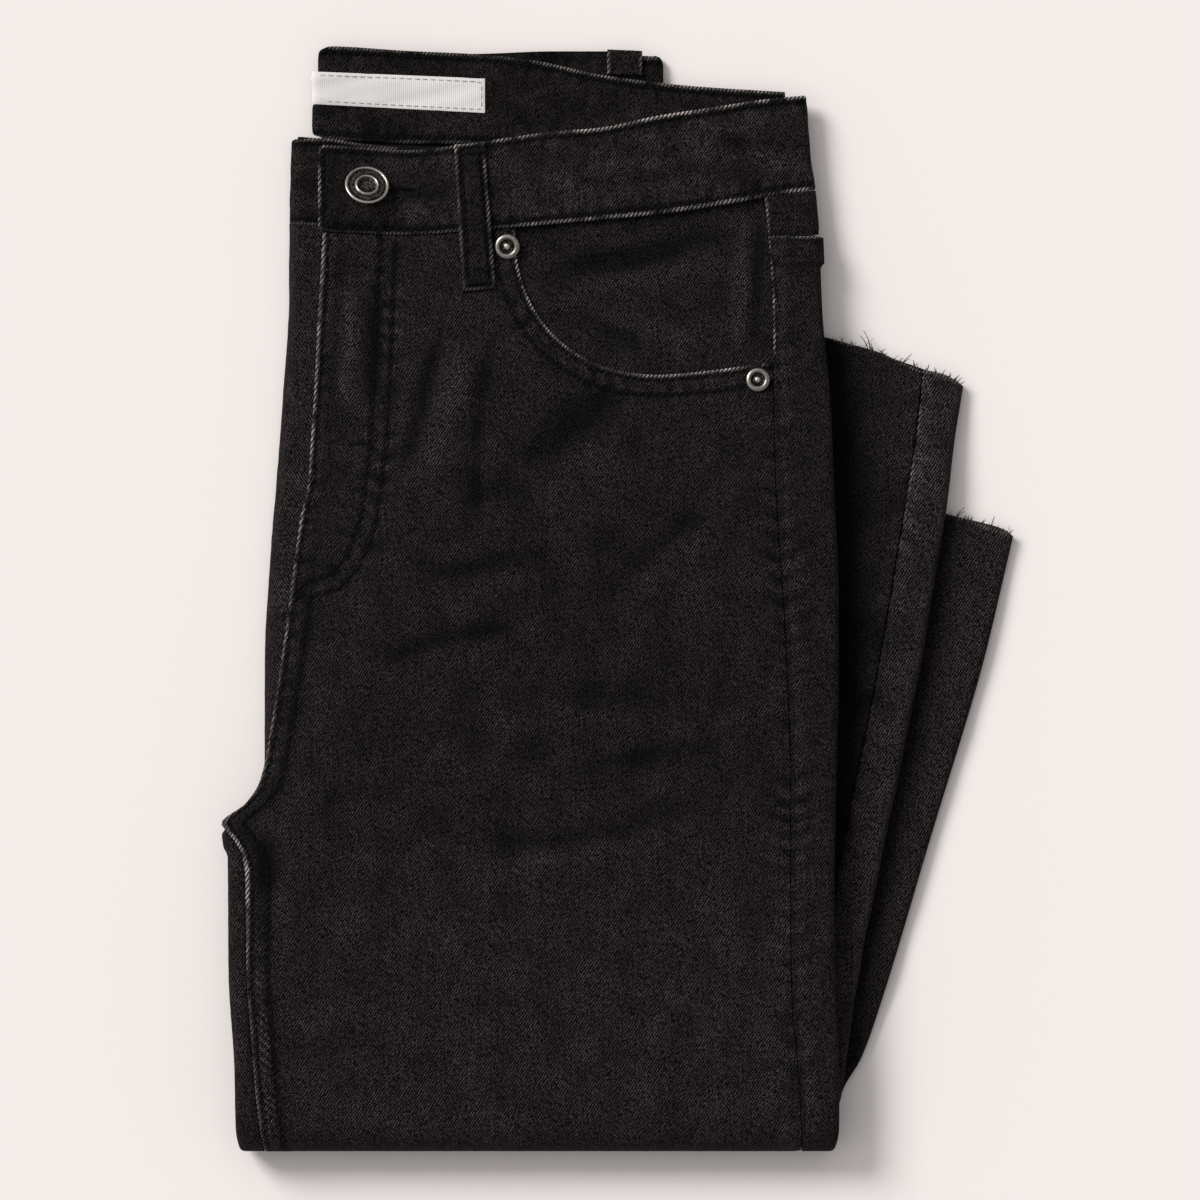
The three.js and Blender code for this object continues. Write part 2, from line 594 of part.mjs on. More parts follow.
const BUTTON = { x: -100.1, y: 165.7, w: -BAND_RAISE };
const BUTTONHOLE = { x: -78.5, y: 162.6, width: 1.2, eyelet: 4.8 };
const LEFT_BAND_DEPTH = { outer: -BAND_RAISE, inner: 5.1 };
const BACK_BAND_DEPTH = { inner: 3.0, outer: 7.8 };
const RIGHT_BAND_DEPTH = { strip: 1.7, side: 5.7, outer: STACK };

function waistbandLeftFront() {
  const section = (row) => {
    const { outer, inner } = LEFT_BAND_DEPTH;
    const right = leftLegRight(row.at(80));
    const radius = (inner - outer) / 2;
    return join(straight(-119.6, right - radius, outer, 12), turn(right, 1, outer, inner, 5),
      straight(right - radius, right - 8, inner, 1));
  };
  const geometry = loft(bandRows(FRONT_BAND), section, BAND);
  addMesh('waistband_left_front', cutButtonhole(geometry), DENIM);
}

function toSolid(geometry) {
  const bare = geometry.clone();
  bare.deleteAttribute('normal');
  bare.deleteAttribute('uv');
  const merged = mergeVertices(bare, 1e-4);
  const vertProperties = new Float32Array(merged.attributes.position.array);
  const triVerts = new Uint32Array(merged.index.array);
  return new wasm.Manifold(new wasm.Mesh({ numProp: 3, vertProperties, triVerts }));
}

function toGeometry(solid) {
  const mesh = solid.getMesh();
  const geometry = new THREE.BufferGeometry();
  geometry.setAttribute('position', new THREE.Float32BufferAttribute(mesh.vertProperties, 3));
  geometry.setIndex(new THREE.Uint32BufferAttribute(mesh.triVerts, 1));
  return geometry;
}

function cutButtonhole(band) {
  const slope = Math.atan2(BUTTONHOLE.y - BUTTON.y, BUTTONHOLE.x - BUTTON.x);
  const length = Math.hypot(BUTTONHOLE.x - BUTTON.x, BUTTONHOLE.y - BUTTON.y);
  const outline = new THREE.Shape();
  const half = BUTTONHOLE.width / 2;
  const open = Math.asin(half / (BUTTONHOLE.eyelet / 2));
  outline.absarc(0, 0, BUTTONHOLE.eyelet / 2, open, 2 * Math.PI - open, false);
  outline.lineTo(length, -half);
  outline.lineTo(length, half);
  outline.closePath();
  const cutter = new THREE.ExtrudeGeometry(outline, { depth: 30, bevelEnabled: false, curveSegments: 10 });
  cutter.rotateZ(slope);
  cutter.translate(BUTTON.x, BUTTON.y, 0);
  return toGeometry(toSolid(band).subtract(toSolid(cutter)));
}

// Back waistband: inner face up on the left half, folded at the centre back, outer face up on
// the right half
function waistbandBack() {
  const { inner, outer } = BACK_BAND_DEPTH;
  const outerGrid = [];
  const innerGrid = [];
  for (const s of spread(3)) {
    const upperRow = bandRow(INNER_BACK_BAND, s);
    const lowerRow = bandRow(OUTER_BACK_BAND, s);
    const start = leftLegRight(upperRow.at(80)) - 8.6;
    const end = rightLegRight(lowerRow.at(18)) - 12.5;
    const edge = lerp(-119.8, -122.2, smooth(s * 2.5));
    const radius = (outer - inner) / 2;
    const first = straight(start, edge + radius, inner, 11);
    const middle = turn(edge, -1, inner, outer, 6);
    const second = straight(edge + radius, end, outer, 9);
    const section = join(first, middle, second);
    const back = offset(section, -BAND);
    const share = (k) => clamp((k - first.length + 1) / (middle.length - 1));
    const t = (x, k) => lerp(upperRow.at(x), lowerRow.at(x), share(k));
    outerGrid.push(section.map(([x, w], k) => [x, t(x, k), w]));
    innerGrid.push(back.map(([x, w], k) => [x, t(section[k][0], k), w]));
  }
  addMesh('waistband_back', wallGeometry(outerGrid, innerGrid), DENIM);
}

// Right front waistband: from the right side under the stack, round the left edge, and on top
// as far as the button
function waistbandRightFront() {
  const { strip, side, outer } = RIGHT_BAND_DEPTH;
  const section = (row) => {
    const right = rightLegRight(row.at(35)) - 0.2;
    const left = leftOutline(row.at(-131));
    const turnIn = (outer - side) / 2;
    const turnUp = (outer - strip) / 2;
    return join(straight(right - 8, right - turnIn, side, 1), turn(right, 1, side, outer, 5),
      straight(right - turnIn, left + turnUp, outer, 9), turn(left, -1, outer, strip, 6),
      straight(left + turnUp, -88, strip, 3));
  };
  addMesh('waistband_right_front', loft(bandRows(RIGHT_BAND), section, 2.0), DENIM);
}

function label() {
  const edge = -122.5;
  const face = BACK_BAND_DEPTH.inner - 0.2;
  const corners = [
    { x: -122, top: 211, bottom: 198 }, { x: -52.9, top: 208.2, bottom: 194.4 },
  ];
  const rows = spread(1).map((s) => bandRow(corners, s));
  const section = () => join([[edge + 0.2, face + 1.6], [edge + 0.9, face + 0.6], [edge + 2.4, face]],
    straight(edge + 2.4, -52.9, face, 6));
  const geometry = loft(rows, section, -0.8);
  addMesh('label', geometry, LABEL_CLOTH);
}

// Belt loops: a folded strap from the band's upper edge down over the band
function beltLoopLeftFront() {
  const rows = [
    { y: 181.6, w: -2.6 }, { y: 180.4, w: -2.9 }, { y: 165, w: -2.9 }, { y: 150, w: -2.9 },
    { y: 146.4, w: -2.7 }, { y: 141, w: -2.1 }, { y: 132, w: -1.95 }, { y: 124.6, w: -1.95 },
    { y: 122.7, w: -1.8 },
  ];
  const thickness = 1.6;
  const grid = (extra) => rows.map((row) => {
    const s = (181.6 - row.y) / 59;
    const left = lerp(-65.2, -61.6, s);
    const right = lerp(-53.0, -48.4, s);
    return spread(2).map((u) => {
      const x = lerp(left, right, u);
      return [x, up(row.y + 1.2 * u), row.w + extra - frontRelief(x, up(row.y))];
    });
  });
  addMesh('belt_loop_left_front', wallGeometry(grid(0), grid(thickness)), DENIM_WORN);
}

function beltLoopRightBack() {
  const ys = [219.9, 218.9, 214, 210.2];
  const grid = (w) => ys.map((y, k) => [-3.9, 3.1, 10.1].map((x) => [x, up(y - (x + 3.9) * 0.04),
    w + (k === 0 ? 0.3 : 0)]));
  addMesh('belt_loop_right_back', wallGeometry(grid(3.8), grid(5.2)), DENIM_WORN);
}

// Position and tilt of what is fixed on the left front or its band
function seat(x, y, w) {
  const reach = 3;
  const at = (dx, dy) => {
    const t = up(y + dy);
    return new THREE.Vector3(...place([x + dx, t, w - frontRelief(x + dx, t)]));
  };
  const east = at(reach, 0).sub(at(-reach, 0));
  const north = at(0, reach).sub(at(0, -reach));
  const normal = east.clone().cross(north).normalize();
  const turned = new THREE.Quaternion().setFromUnitVectors(new THREE.Vector3(0, 0, 1), normal);
  return { position: at(0, 0), turned, normal };
}

function latheSolid(profile, segments) {
  const points = profile.map(([r, z]) => new THREE.Vector2(r, z));
  const geometry = new THREE.LatheGeometry(points, segments);
  geometry.rotateX(Math.PI / 2);
  const bare = geometry.clone();
  bare.deleteAttribute('normal');
  bare.deleteAttribute('uv');
  return mergeVertices(bare, 1e-4);
}

function rivet(name, x, y) {
  const r = RIVET_DIAMETER / 2;
  const profile = [[0, 0], [r * 0.94, 0], [r, 0.35], [r * 0.9, 1.0], [r * 0.7, 1.45], [r * 0.55, 1.4],
    [r * 0.49, 0.75], [r * 0.26, 0.7], [r * 0.22, 1.2], [r * 0.12, 1.5], [0, 1.55]];
  const { position, turned, normal } = seat(x, y, 0);
  const mesh = addMesh(name, latheSolid(profile, 20), METAL);
  mesh.position.copy(position).addScaledVector(normal, 0.75);
  mesh.quaternion.copy(turned);
}

function button() {
  const r = BUTTON_DIAMETER / 2;
  const head = [[0, 0], [r * 0.62, 0], [r * 0.94, 0.5], [r, 1.1], [r * 0.96, 1.6], [r * 0.88, 1.6],
    [r * 0.84, 1.2], [r * 0.56, 1.2], [r * 0.52, 1.75], [r * 0.46, 1.75], [r * 0.42, 0.8], [0, 0.7]];
  const { position, normal } = seat(BUTTON.x, BUTTON.y, BUTTON.w);
  const tiltAxis = new THREE.Vector3(0.978, -0.208, 0);
  const tilted = new THREE.Quaternion().setFromAxisAngle(tiltAxis, -THREE.MathUtils.degToRad(BUTTON_TILT));
  const headHeight = r * Math.sin(THREE.MathUtils.degToRad(BUTTON_TILT)) + 0.3;
  const foot = BUTTON.w - RIGHT_BAND_DEPTH.strip + GAP;
  const shank = latheSolid([[0, foot], [1.8, foot], [1.8, headHeight + 0.6], [0, headHeight + 0.6]], 14);
  const headPiece = latheSolid(head, 28);
  headPiece.applyQuaternion(tilted);
  headPiece.translate(0, 0, headHeight);
  const whole = toGeometry(toSolid(headPiece).add(toSolid(shank)));
  const mesh = addMesh('button', whole, METAL);
  mesh.position.copy(position);
  mesh.quaternion.setFromUnitVectors(new THREE.Vector3(0, 0, 1), normal);
}

// Loose threads of a raw hem, rooted in a narrow strip just past the cloth's edge
function hemFray(name, leg, threads) {
  const stripWidth = 1.4;
  const hemT = (x, out) => {
    const slope = (leg.hem.left - leg.hem.right) / (leg.rightX - leg.leftX);
    return low(leg.hem.right) + (leg.rightX - x) * slope + GAP + out;
  };
  const grid = (w) => [0, stripWidth].map((out) =>
    spread(6).map((s) => {
      const x = lerp(leg.from, leg.to, s);
      return [x, hemT(x, out), w];
    }));
  let fray = toSolid(wallGeometry(grid(leg.w), grid(leg.w + leg.side * 0.9)));
  for (const thread of threads) {
    const x = lerp(leg.from, leg.to, thread.at);
    const points = spread(3).map((s) => {
      const lean = thread.lean * s + thread.bend * s * s;
      const w = leg.w + leg.side * (0.45 + thread.drop * s * s);
      return new THREE.Vector3(...place([x + lean, hemT(x, stripWidth - 0.7 + thread.length * s), w]));
    });
    fray = fray.add(toSolid(strand(points, 0.26)));
  }
  addMesh(name, toGeometry(fray), THREAD);
}

function strand(points, radius) {
  const path = new THREE.CatmullRomCurve3(points);
  const shape = new THREE.Shape();
  for (const k of [0, 1, 2]) {
    const a = (2 * Math.PI * k) / 3;
    const method = k === 0 ? 'moveTo' : 'lineTo';
    shape[method](radius * Math.cos(a), radius * Math.sin(a));
  }
  shape.closePath();
  return new THREE.ExtrudeGeometry(shape, { steps: 3, extrudePath: path, bevelEnabled: false });
}

// Each thread: place along the strip, length, sideways lean, bend and how far its tip drops
const RIGHT_THREADS = [
  { at: 0.10, length: 2.6, lean: 1.0, bend: 0.6, drop: 0 },
  { at: 0.33, length: 10.4, lean: -3.0, bend: -1.0, drop: 0.6 },
  { at: 0.36, length: 4.2, lean: -1.6, bend: 0.4, drop: 0.2 },
  { at: 0.45, length: 3.4, lean: 1.6, bend: 1.2, drop: 0.2 },
  { at: 0.50, length: 3.0, lean: -1.4, bend: -0.8, drop: 0.2 },
  { at: 0.58, length: 2.2, lean: 1.0, bend: 0.6, drop: 0 },
  { at: 0.62, length: 6.0, lean: 4.6, bend: 2.4, drop: 0.4 },
  { at: 0.73, length: 3.6, lean: -0.8, bend: -0.4, drop: 0.2 },
  { at: 0.755, length: 3.8, lean: -0.4, bend: 0.2, drop: 0.2 },
  { at: 0.82, length: 4.0, lean: 0.6, bend: 0.2, drop: 0.2 },
  { at: 0.89, length: 3.4, lean: 1.6, bend: 0.8, drop: 0.2 },
  { at: 0.93, length: 2.6, lean: 1.4, bend: 0.6, drop: 0 },
  { at: 0.97, length: 2.4, lean: 1.8, bend: 0.8, drop: 0 },
];
const LEFT_THREADS = [
  { at: 0.28, length: 4.6, lean: 3.6, bend: 1.4, drop: 0.4 },
  { at: 0.45, length: 2.4, lean: 1.2, bend: 0.6, drop: 0 },
  { at: 0.62, length: 2.6, lean: 2.4, bend: 1.2, drop: 0 },
  { at: 0.78, length: 6.2, lean: 1.2, bend: 0.6, drop: 0.4 },
  { at: 0.95, length: 2.2, lean: 1.6, bend: 0.6, drop: 0 },
];

leftFront();
leftBack();
leftYoke();
leftBackInseam();
rightFront();
rightBack();
hiddenLayers();
pocketFacing();
waistbandLeftFront();
waistbandBack();
waistbandRightFront();
label();
beltLoopLeftFront();
beltLoopRightBack();
rivet('rivet_waist', -43.9, 140.6);
rivet('rivet_side', 56.2, 87.3);
button();
hemFray('hem_fray_right', { hem: RIGHT_HEM, rightX: 138.8, leftX: -54, from: 86, to: 133, w: STACK, side: -1 },
  RIGHT_THREADS);
hemFray('hem_fray_left', { hem: LEFT_HEM, rightX: 158.8, leftX: -40, from: 128, to: 154, w: LEG, side: -1 },
  LEFT_THREADS);

export default jeans;
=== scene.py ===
"""Straight leg jeans in faded black denim, folded down the centre and turned up across the legs."""

import bpy
import numpy as np
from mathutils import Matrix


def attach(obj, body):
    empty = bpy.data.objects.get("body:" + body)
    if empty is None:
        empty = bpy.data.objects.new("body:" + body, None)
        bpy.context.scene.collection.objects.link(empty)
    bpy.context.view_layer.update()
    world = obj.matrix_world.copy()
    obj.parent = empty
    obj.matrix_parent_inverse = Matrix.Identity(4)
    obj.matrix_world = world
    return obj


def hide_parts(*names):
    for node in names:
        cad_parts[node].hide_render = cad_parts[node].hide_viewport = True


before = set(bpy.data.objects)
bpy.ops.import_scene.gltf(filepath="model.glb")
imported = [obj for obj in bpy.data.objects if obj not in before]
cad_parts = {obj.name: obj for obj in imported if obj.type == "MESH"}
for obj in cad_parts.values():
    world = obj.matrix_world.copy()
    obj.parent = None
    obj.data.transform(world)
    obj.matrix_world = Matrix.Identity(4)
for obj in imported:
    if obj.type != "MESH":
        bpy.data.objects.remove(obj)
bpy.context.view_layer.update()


# Surface: a pale painted board that the jeans lie on, matte, lit by a big soft lamp from the
# upper left and by the white walls of a studio. The camera looks straight down through a long lens.
def linear(colour):
    """An sRGB hex colour as linear red, green, blue, alpha."""
    c = np.array([int(colour[k:k + 2], 16) for k in (1, 3, 5)]) / 255
    return (*np.where(c <= 0.04045, c / 12.92, ((c + 0.055) / 1.055) ** 2.4), 1.0)


def add(tree, kind, sockets=None, **settings):
    """One node of a material, with its settings, and its sockets set or linked."""
    node = tree.nodes.new(kind)
    for key, value in settings.items():
        setattr(node, key, value)
    for key, value in (sockets or {}).items():
        if isinstance(value, bpy.types.NodeSocket):
            tree.links.new(value, node.inputs[key])
        else:
            node.inputs[key].default_value = value
    return node


def material(name):
    """An empty material with its shader, and the tree to add nodes to."""
    made = bpy.data.materials.new(name)
    made.use_nodes = True
    return made, made.node_tree, made.node_tree.nodes["Principled BSDF"]


board_mesh = bpy.data.meshes.new("board")
BOARD_HALF, BOARD_Z = 6, -2e-4
board_mesh.from_pydata([(a * BOARD_HALF, b * BOARD_HALF, BOARD_Z) for a, b in ((-1, -1), (1, -1), (1, 1), (-1, 1))],
                       [], [(0, 1, 2, 3)])
board = bpy.data.objects.new("board", board_mesh)
bpy.context.collection.objects.link(board)
# Matte emulsion paint: no gloss, an even warm white
paint, _, paint_shader = material("matte_paint")
paint_shader.inputs["Base Color"].default_value = linear("#f5edea")
paint_shader.inputs["Roughness"].default_value = 1.0
paint_shader.inputs["Specular IOR Level"].default_value = 0.0
board_mesh.materials.append(paint)

scene = bpy.context.scene
scene.view_settings.view_transform = "Standard"
world = bpy.data.worlds.new("studio")
scene.world = world
world.use_nodes = True
AMBIENT = 0.30
world.node_tree.nodes["Background"].inputs["Color"].default_value = (1, 1, 1, 1)
world.node_tree.nodes["Background"].inputs["Strength"].default_value = AMBIENT
# Name, share of the board's light, tilt, heading and width of each lamp, in degrees
LAMPS = (("soft_box", 0.45, 57, -55, 24), ("wide_diffuser", 0.215, 42, -56, 110))
for name, share, tilt, heading, width in LAMPS:
    tilt, heading = np.radians(tilt), np.radians(heading)
    lamp_data = bpy.data.lights.new(name, "SUN")
    lamp_data.energy = share * np.pi / np.cos(tilt)
    lamp_data.angle = np.radians(width)
    lamp = bpy.data.objects.new(name, lamp_data)
    lamp.rotation_euler = (-tilt * np.cos(heading), tilt * np.sin(heading), 0)
    bpy.context.collection.objects.link(lamp)

# A long lens: metres above the board, metres across the picture at the cloth, sensor in millimetres
CAMERA_HEIGHT, VIEW_WIDTH, SENSOR, CLOTH_TOP = 5.0, 0.480, 36.0, 0.012
camera_data = bpy.data.cameras.new("camera")
camera_data.sensor_width = SENSOR
camera_data.lens = SENSOR * (CAMERA_HEIGHT - CLOTH_TOP) / VIEW_WIDTH
camera_data.clip_end = 30
camera = bpy.data.objects.new("camera", camera_data)
camera.location = (-0.0068, -0.0006, CAMERA_HEIGHT)
bpy.context.collection.objects.link(camera)
scene.camera = camera


# Left front: the panel on top, black rigid denim, from the waistband and the scoop of the pocket
# down round the bottom fold. Its left edge is the fly, then the crotch and the felled inseam.
# Cloth coordinates in millimetres: x across, t along the leg (0 where the bottom fold starts,
# negative towards the waist), w depth into the stack from the outer face of the left leg.
CLOTH, LEG, LAYER, STACK = 1.2, 5.0, 5.3, 10.3
FOLD_Y, FOLD_LENGTH, FOLD_RADIUS, FOLD_SLACK = -210.4, 16.0, 10.75, 0.45
# y of the right and left end of each raw hem; x of these ends, x of the leg's left edge at the
# bottom fold, and how far the cloth over the leg takes to sink beside it
LEFT_HEM, RIGHT_HEM = (25.0, 86.8), (85.0, 148.0)
LEFT_ENDS, RIGHT_ENDS = (158.8, -40.0), (138.8, -54.0)
OVER_LEFT, OVER_RIGHT = (LEFT_HEM, *LEFT_ENDS, -152.0, 56), (RIGHT_HEM, *RIGHT_ENDS, -149.4, 60)


def up(y):
    """t of a place on the upper run, from its y."""
    return FOLD_Y - y


def low(y):
    """t of a place on the lower run, from its y."""
    return FOLD_LENGTH + y - FOLD_Y


def smooth(s):
    """Smooth step from 0 to 1."""
    s = np.clip(s, 0, 1)
    return s * s * (3 - 2 * s)


def track(table):
    """A curve through (t, x) rows: cubic pieces whose slopes are the harmonic means of their
    neighbours' slopes, and level at a turning point, so it never overshoots a row."""
    at, value = np.array(table, float).T
    step = np.diff(at)
    slope = np.diff(value) / step
    before, after = slope[:-1], slope[1:]
    mean = np.where(before * after > 0, 2 * before * after / np.where(before + after == 0, 1, before + after), 0)
    tangent = np.concatenate([slope[:1], mean, slope[-1:]])

    def curve(t):
        t = np.clip(t, at[0], at[-1])
        k = np.clip(np.searchsorted(at, t, side="right") - 1, 0, len(step) - 1)
        u = (t - at[k]) / step[k]
        base = value[k] + (value[k + 1] - value[k]) * u * u * (3 - 2 * u)
        return base + step[k] * u * (1 - u) * ((1 - u) * tangent[k] - u * tangent[k + 1])

    return curve


# t and x of the bundle's left edge
OUTLINE_ROWS = [
    (up(184), -130.4), (up(150), -131.2), (up(119), -131.4), (up(87), -133.4), (up(47), -136.4),
    (up(15), -139.0), (up(-26), -141.1), (up(-66), -141.1), (up(-74), -143.2), (up(-82), -148.6),
    (up(-90), -158.2), (up(-99), -157.7), (up(-103), -155.8), (up(-150), -155.3), (up(-188), -152.9),
    (0, -152.4), (FOLD_LENGTH / 2, -151.2), (FOLD_LENGTH, -152.0), (FOLD_LENGTH + 10, -148.3),
    (low(86.8), -40.0)]
left_outline = track(OUTLINE_ROWS)
# The same of the panel's own left edge
front_edge = track([
    (up(149), -117.6), (up(129), -118.4), (up(110), -119.6), (up(91), -120.6), (up(67), -122.2),
    (up(47), -123.6), (up(31), -126.8), (up(-1), -131.0), (up(-30), -135.0), (up(-55), -139.0),
    (up(-65), -140.7), (up(-74), -143.2), (up(-82), -148.6), (up(-90), -158.2), (up(-93), -156.2),
    (up(-97), -152.9), (up(-102), -150.2), (up(-110), -148.6), (up(-150), -148.0),
    (up(-172), -146.4), (up(-193), -144.8), (0, -142.8), (FOLD_LENGTH / 2, -140.6),
    (FOLD_LENGTH, -142.0), (FOLD_LENGTH + 10, -138.3), (low(86.8), -30.0)])
# t of each row, x of the left leg's right edge and of its side seam
LEFT_LEG = np.array([
    (up(201), 75.9, 57.0), (up(177), 77.6, 58.5), (up(164), 79.4, 59.0), (up(149), 80.8, 60.2),
    (up(114), 82.2, 62.3), (up(79), 85.4, 62.6), (up(47), 86.7, 63.3), (up(1), 88.6, 66.3),
    (up(-35), 88.6, 68.2), (up(-72), 87.7, 69.4), (up(-118), 86.9, 69.3), (up(-157), 87.3, 69.8),
    (up(-195), 88.9, 72.9), (0, 88.8, 73.6), (FOLD_LENGTH / 2, 87.4, 73.8), (FOLD_LENGTH, 87.0, 73.0),
    (low(-196), 91.0, 77.0), (low(-184), 98.0, 84.0), (low(-164), 105.2, 91.2),
    (low(-95), 126.0, 111.6), (low(-25), 147.0, 132.0), (low(5), 154.2, 139.0), (low(25), 158.8, 143.4)])
left_leg_right = track(LEFT_LEG[:, [0, 1]])
left_leg_seam = track(LEFT_LEG[:, [0, 2]])
# Waistband edges: x, upper y, lower y
FRONT_BAND = np.array([
    (-119.6, 181.6, 147.0), (-99, 180.4, 145.8), (-84, 179.4, 145.4), (-53, 183.0, 147.4),
    (-26, 186.8, 149.8), (-7, 188.4, 151.6), (17, 193.3, 154.0), (40, 196.8, 157.4),
    (64, 200.3, 161.6), (80, 201.6, 163.7)])
front_band_top, front_band_bottom = track(FRONT_BAND[:, [0, 1]]), track(FRONT_BAND[:, [0, 2]])


def over_leg(x, y, hem, right, left, foot, reach):
    """1 over a lower leg, sinking smoothly to 0 within reach past its hem or its left edge."""
    across, along = np.array([left - right, hem[1] - hem[0]]), np.array([left - foot, hem[1] - FOLD_Y])
    past_hem = (-(y - hem[0]) * across[0] + (x - right) * across[1]) / np.hypot(*across)
    past_edge = ((foot - x) * along[1] + (y - FOLD_Y) * along[0]) / np.hypot(*along)
    return 1 - smooth((np.hypot(np.maximum(past_hem, 0), np.maximum(past_edge, 0)) - 3) / reach)


def fold(x, t, w):
    """Cloth coordinates to the folded garment in millimetres. The upper run lies at depth w below
    the top and is lifted where lower legs lie under it; the fold is half a turn round the
    centre of the stack; the lower run lies on the surface, the right leg sinking past the left."""
    x, t, w = np.broadcast_arrays(np.asarray(x, float), np.asarray(t, float), np.asarray(w, float))
    y_up = FOLD_Y - np.minimum(t, 0)
    y_low = FOLD_Y + np.maximum(t - FOLD_LENGTH, 0)
    lift = (LAYER * over_leg(x, y_up, *OVER_LEFT)
            + (LEG + 2 * FOLD_SLACK) * over_leg(x, y_up, *OVER_RIGHT))
    angle = np.pi * np.clip(t / FOLD_LENGTH, 0, 1)
    radius = FOLD_RADIUS - w
    sink = np.where(w > LEG + 0.15, LAYER * (1 - over_leg(x, y_low, *OVER_LEFT)), 0)
    y = np.where(t <= 0, y_up, np.where(t < FOLD_LENGTH, FOLD_Y - radius * np.sin(angle), y_low))
    z = np.where(t <= 0, STACK - w + lift,
                 np.where(t < FOLD_LENGTH, FOLD_RADIUS + radius * np.cos(angle), w - sink))
    return np.stack([x, y, z], -1)


def grain_down(t):
    """The weave's own length coordinate: minus t, with the full half turn of the fold in it."""
    return -(t + (np.pi * FOLD_RADIUS - FOLD_LENGTH) * np.clip(t / FOLD_LENGTH, 0, 1))


def leg_rows(upper, lower, hem, fold_steps):
    """t at the left and right end of each row: level on the upper run and round the fold, then
    slanting more and more towards the hem."""
    lower = np.asarray(lower, float)
    slant = lower + (hem[1] - hem[0]) * (lower - FOLD_Y) / (hem[0] - FOLD_Y)
    turn = np.linspace(0, FOLD_LENGTH, fold_steps)
    left = np.concatenate([up(np.asarray(upper)), turn, low(slant)])
    right = np.concatenate([up(np.asarray(upper)), turn, low(lower)])
    return left, right


def row_t(left_t, right_t, x, left_edge, right_edge):
    """t at every x of rows that run straight from one edge's curve to the other's."""
    left_x, right_x = left_edge(left_t)[:, None], right_edge(right_t)[:, None]
    share = np.clip((x - left_x) / (right_x - left_x), 0, 1)
    return left_t[:, None] + (right_t - left_t)[:, None] * share


def near(x, y, line):
    """Distance from each point to a line through the given points, and how far along it lies."""
    line = np.asarray(line, float)
    start, leg = line[:-1], np.diff(line, axis=0)
    length = np.hypot(*leg.T)
    before = np.concatenate([[0], np.cumsum(length)[:-1]])
    best, along = np.full(np.shape(x), 1e9), np.zeros(np.shape(x))
    for (ax, ay), (dx, dy), size, far in zip(start, leg, length, before):
        u = np.clip(((x - ax) * dx + (y - ay) * dy) / size ** 2, 0, 1)
        d = np.hypot(x - ax - u * dx, y - ay - u * dy)
        along = np.where(d < best, far + u * size, along)
        best = np.minimum(best, d)
    return best, along


def swell(x, y, seed, grain, stretch=1.0, heading=0.0):
    """Smooth random relief between about -1 and 1: a sum of twelve waves about grain long,
    stretched along heading."""
    random = np.random.default_rng(seed)
    c, s = np.cos(heading), np.sin(heading)
    a, b = (x * c + y * s) / stretch, y * c - x * s
    total = np.zeros(np.broadcast(x, y).shape)
    for _ in range(12):
        way, size, phase = random.uniform(0, np.pi), grain * random.uniform(0.6, 1.8), random.uniform(0, 2 * np.pi)
        total += np.sin(2 * np.pi * (a * np.cos(way) + b * np.sin(way)) / size + phase)
    return total / 4


def bell(d, width):
    """A bell curve of a distance: 1 at 0, falling to 0.37 at the width."""
    return np.exp(-(d / width) ** 2)


def creases(x, y, table):
    """Relief of creases: each is a line with a width and a height, fading out at both ends, its
    section a bell curve."""
    total = np.zeros(np.broadcast(x, y).shape)
    for width, height, line in table:
        d, along = near(x, y, line)
        whole = np.hypot(*np.diff(np.array(line, float), axis=0).T).sum()
        total += height * smooth(along / whole / 0.3) * smooth((1 - along / whole) / 0.3) * bell(d, width)
    return total


def puckers(x, y, line, pitch, reach, height, seed):
    """Relief of a sewn line that has drawn up in washing: slanting waves about a pitch apart,
    uneven in height and spacing, fading out over reach on both sides."""
    d, along = near(x, y, line)
    drift = swell(along, along * 0, seed, 5 * pitch)
    wave = np.sin(2 * np.pi * (along + 0.5 * d) / pitch + 2.2 * drift)
    return height * wave * (0.65 + 0.5 * swell(along, along * 0, seed + 1, 4 * pitch)) * bell(d, reach)


def corner(d, radius):
    """How far a quarter circle of a radius cuts in at distance d from where it starts."""
    return radius * (1 - np.sqrt(1 - (1 - np.clip(d / radius, 0, 1)) ** 2))


def rounded(d, radius=0.8):
    """How far a cut or folded edge falls away at distance d from it: a flattened quarter circle."""
    return -0.6 * corner(d, radius)


def as_piece(mesh, finish):
    """A smooth shaded piece of the jeans, from its mesh and its one material."""
    mesh.polygons.foreach_set("use_smooth", np.ones(len(mesh.polygons), bool))
    mesh.materials.append(finish)
    piece = bpy.data.objects.new(mesh.name, mesh)
    bpy.context.collection.objects.link(piece)
    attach(piece, "root")
    return piece


def set_values(mesh, **values):
    """Named numbers on the points of a mesh, for its material to read."""
    for key, value in values.items():
        mesh.attributes.new(key, "FLOAT", "POINT").data.foreach_set("value", value.astype(np.float32))


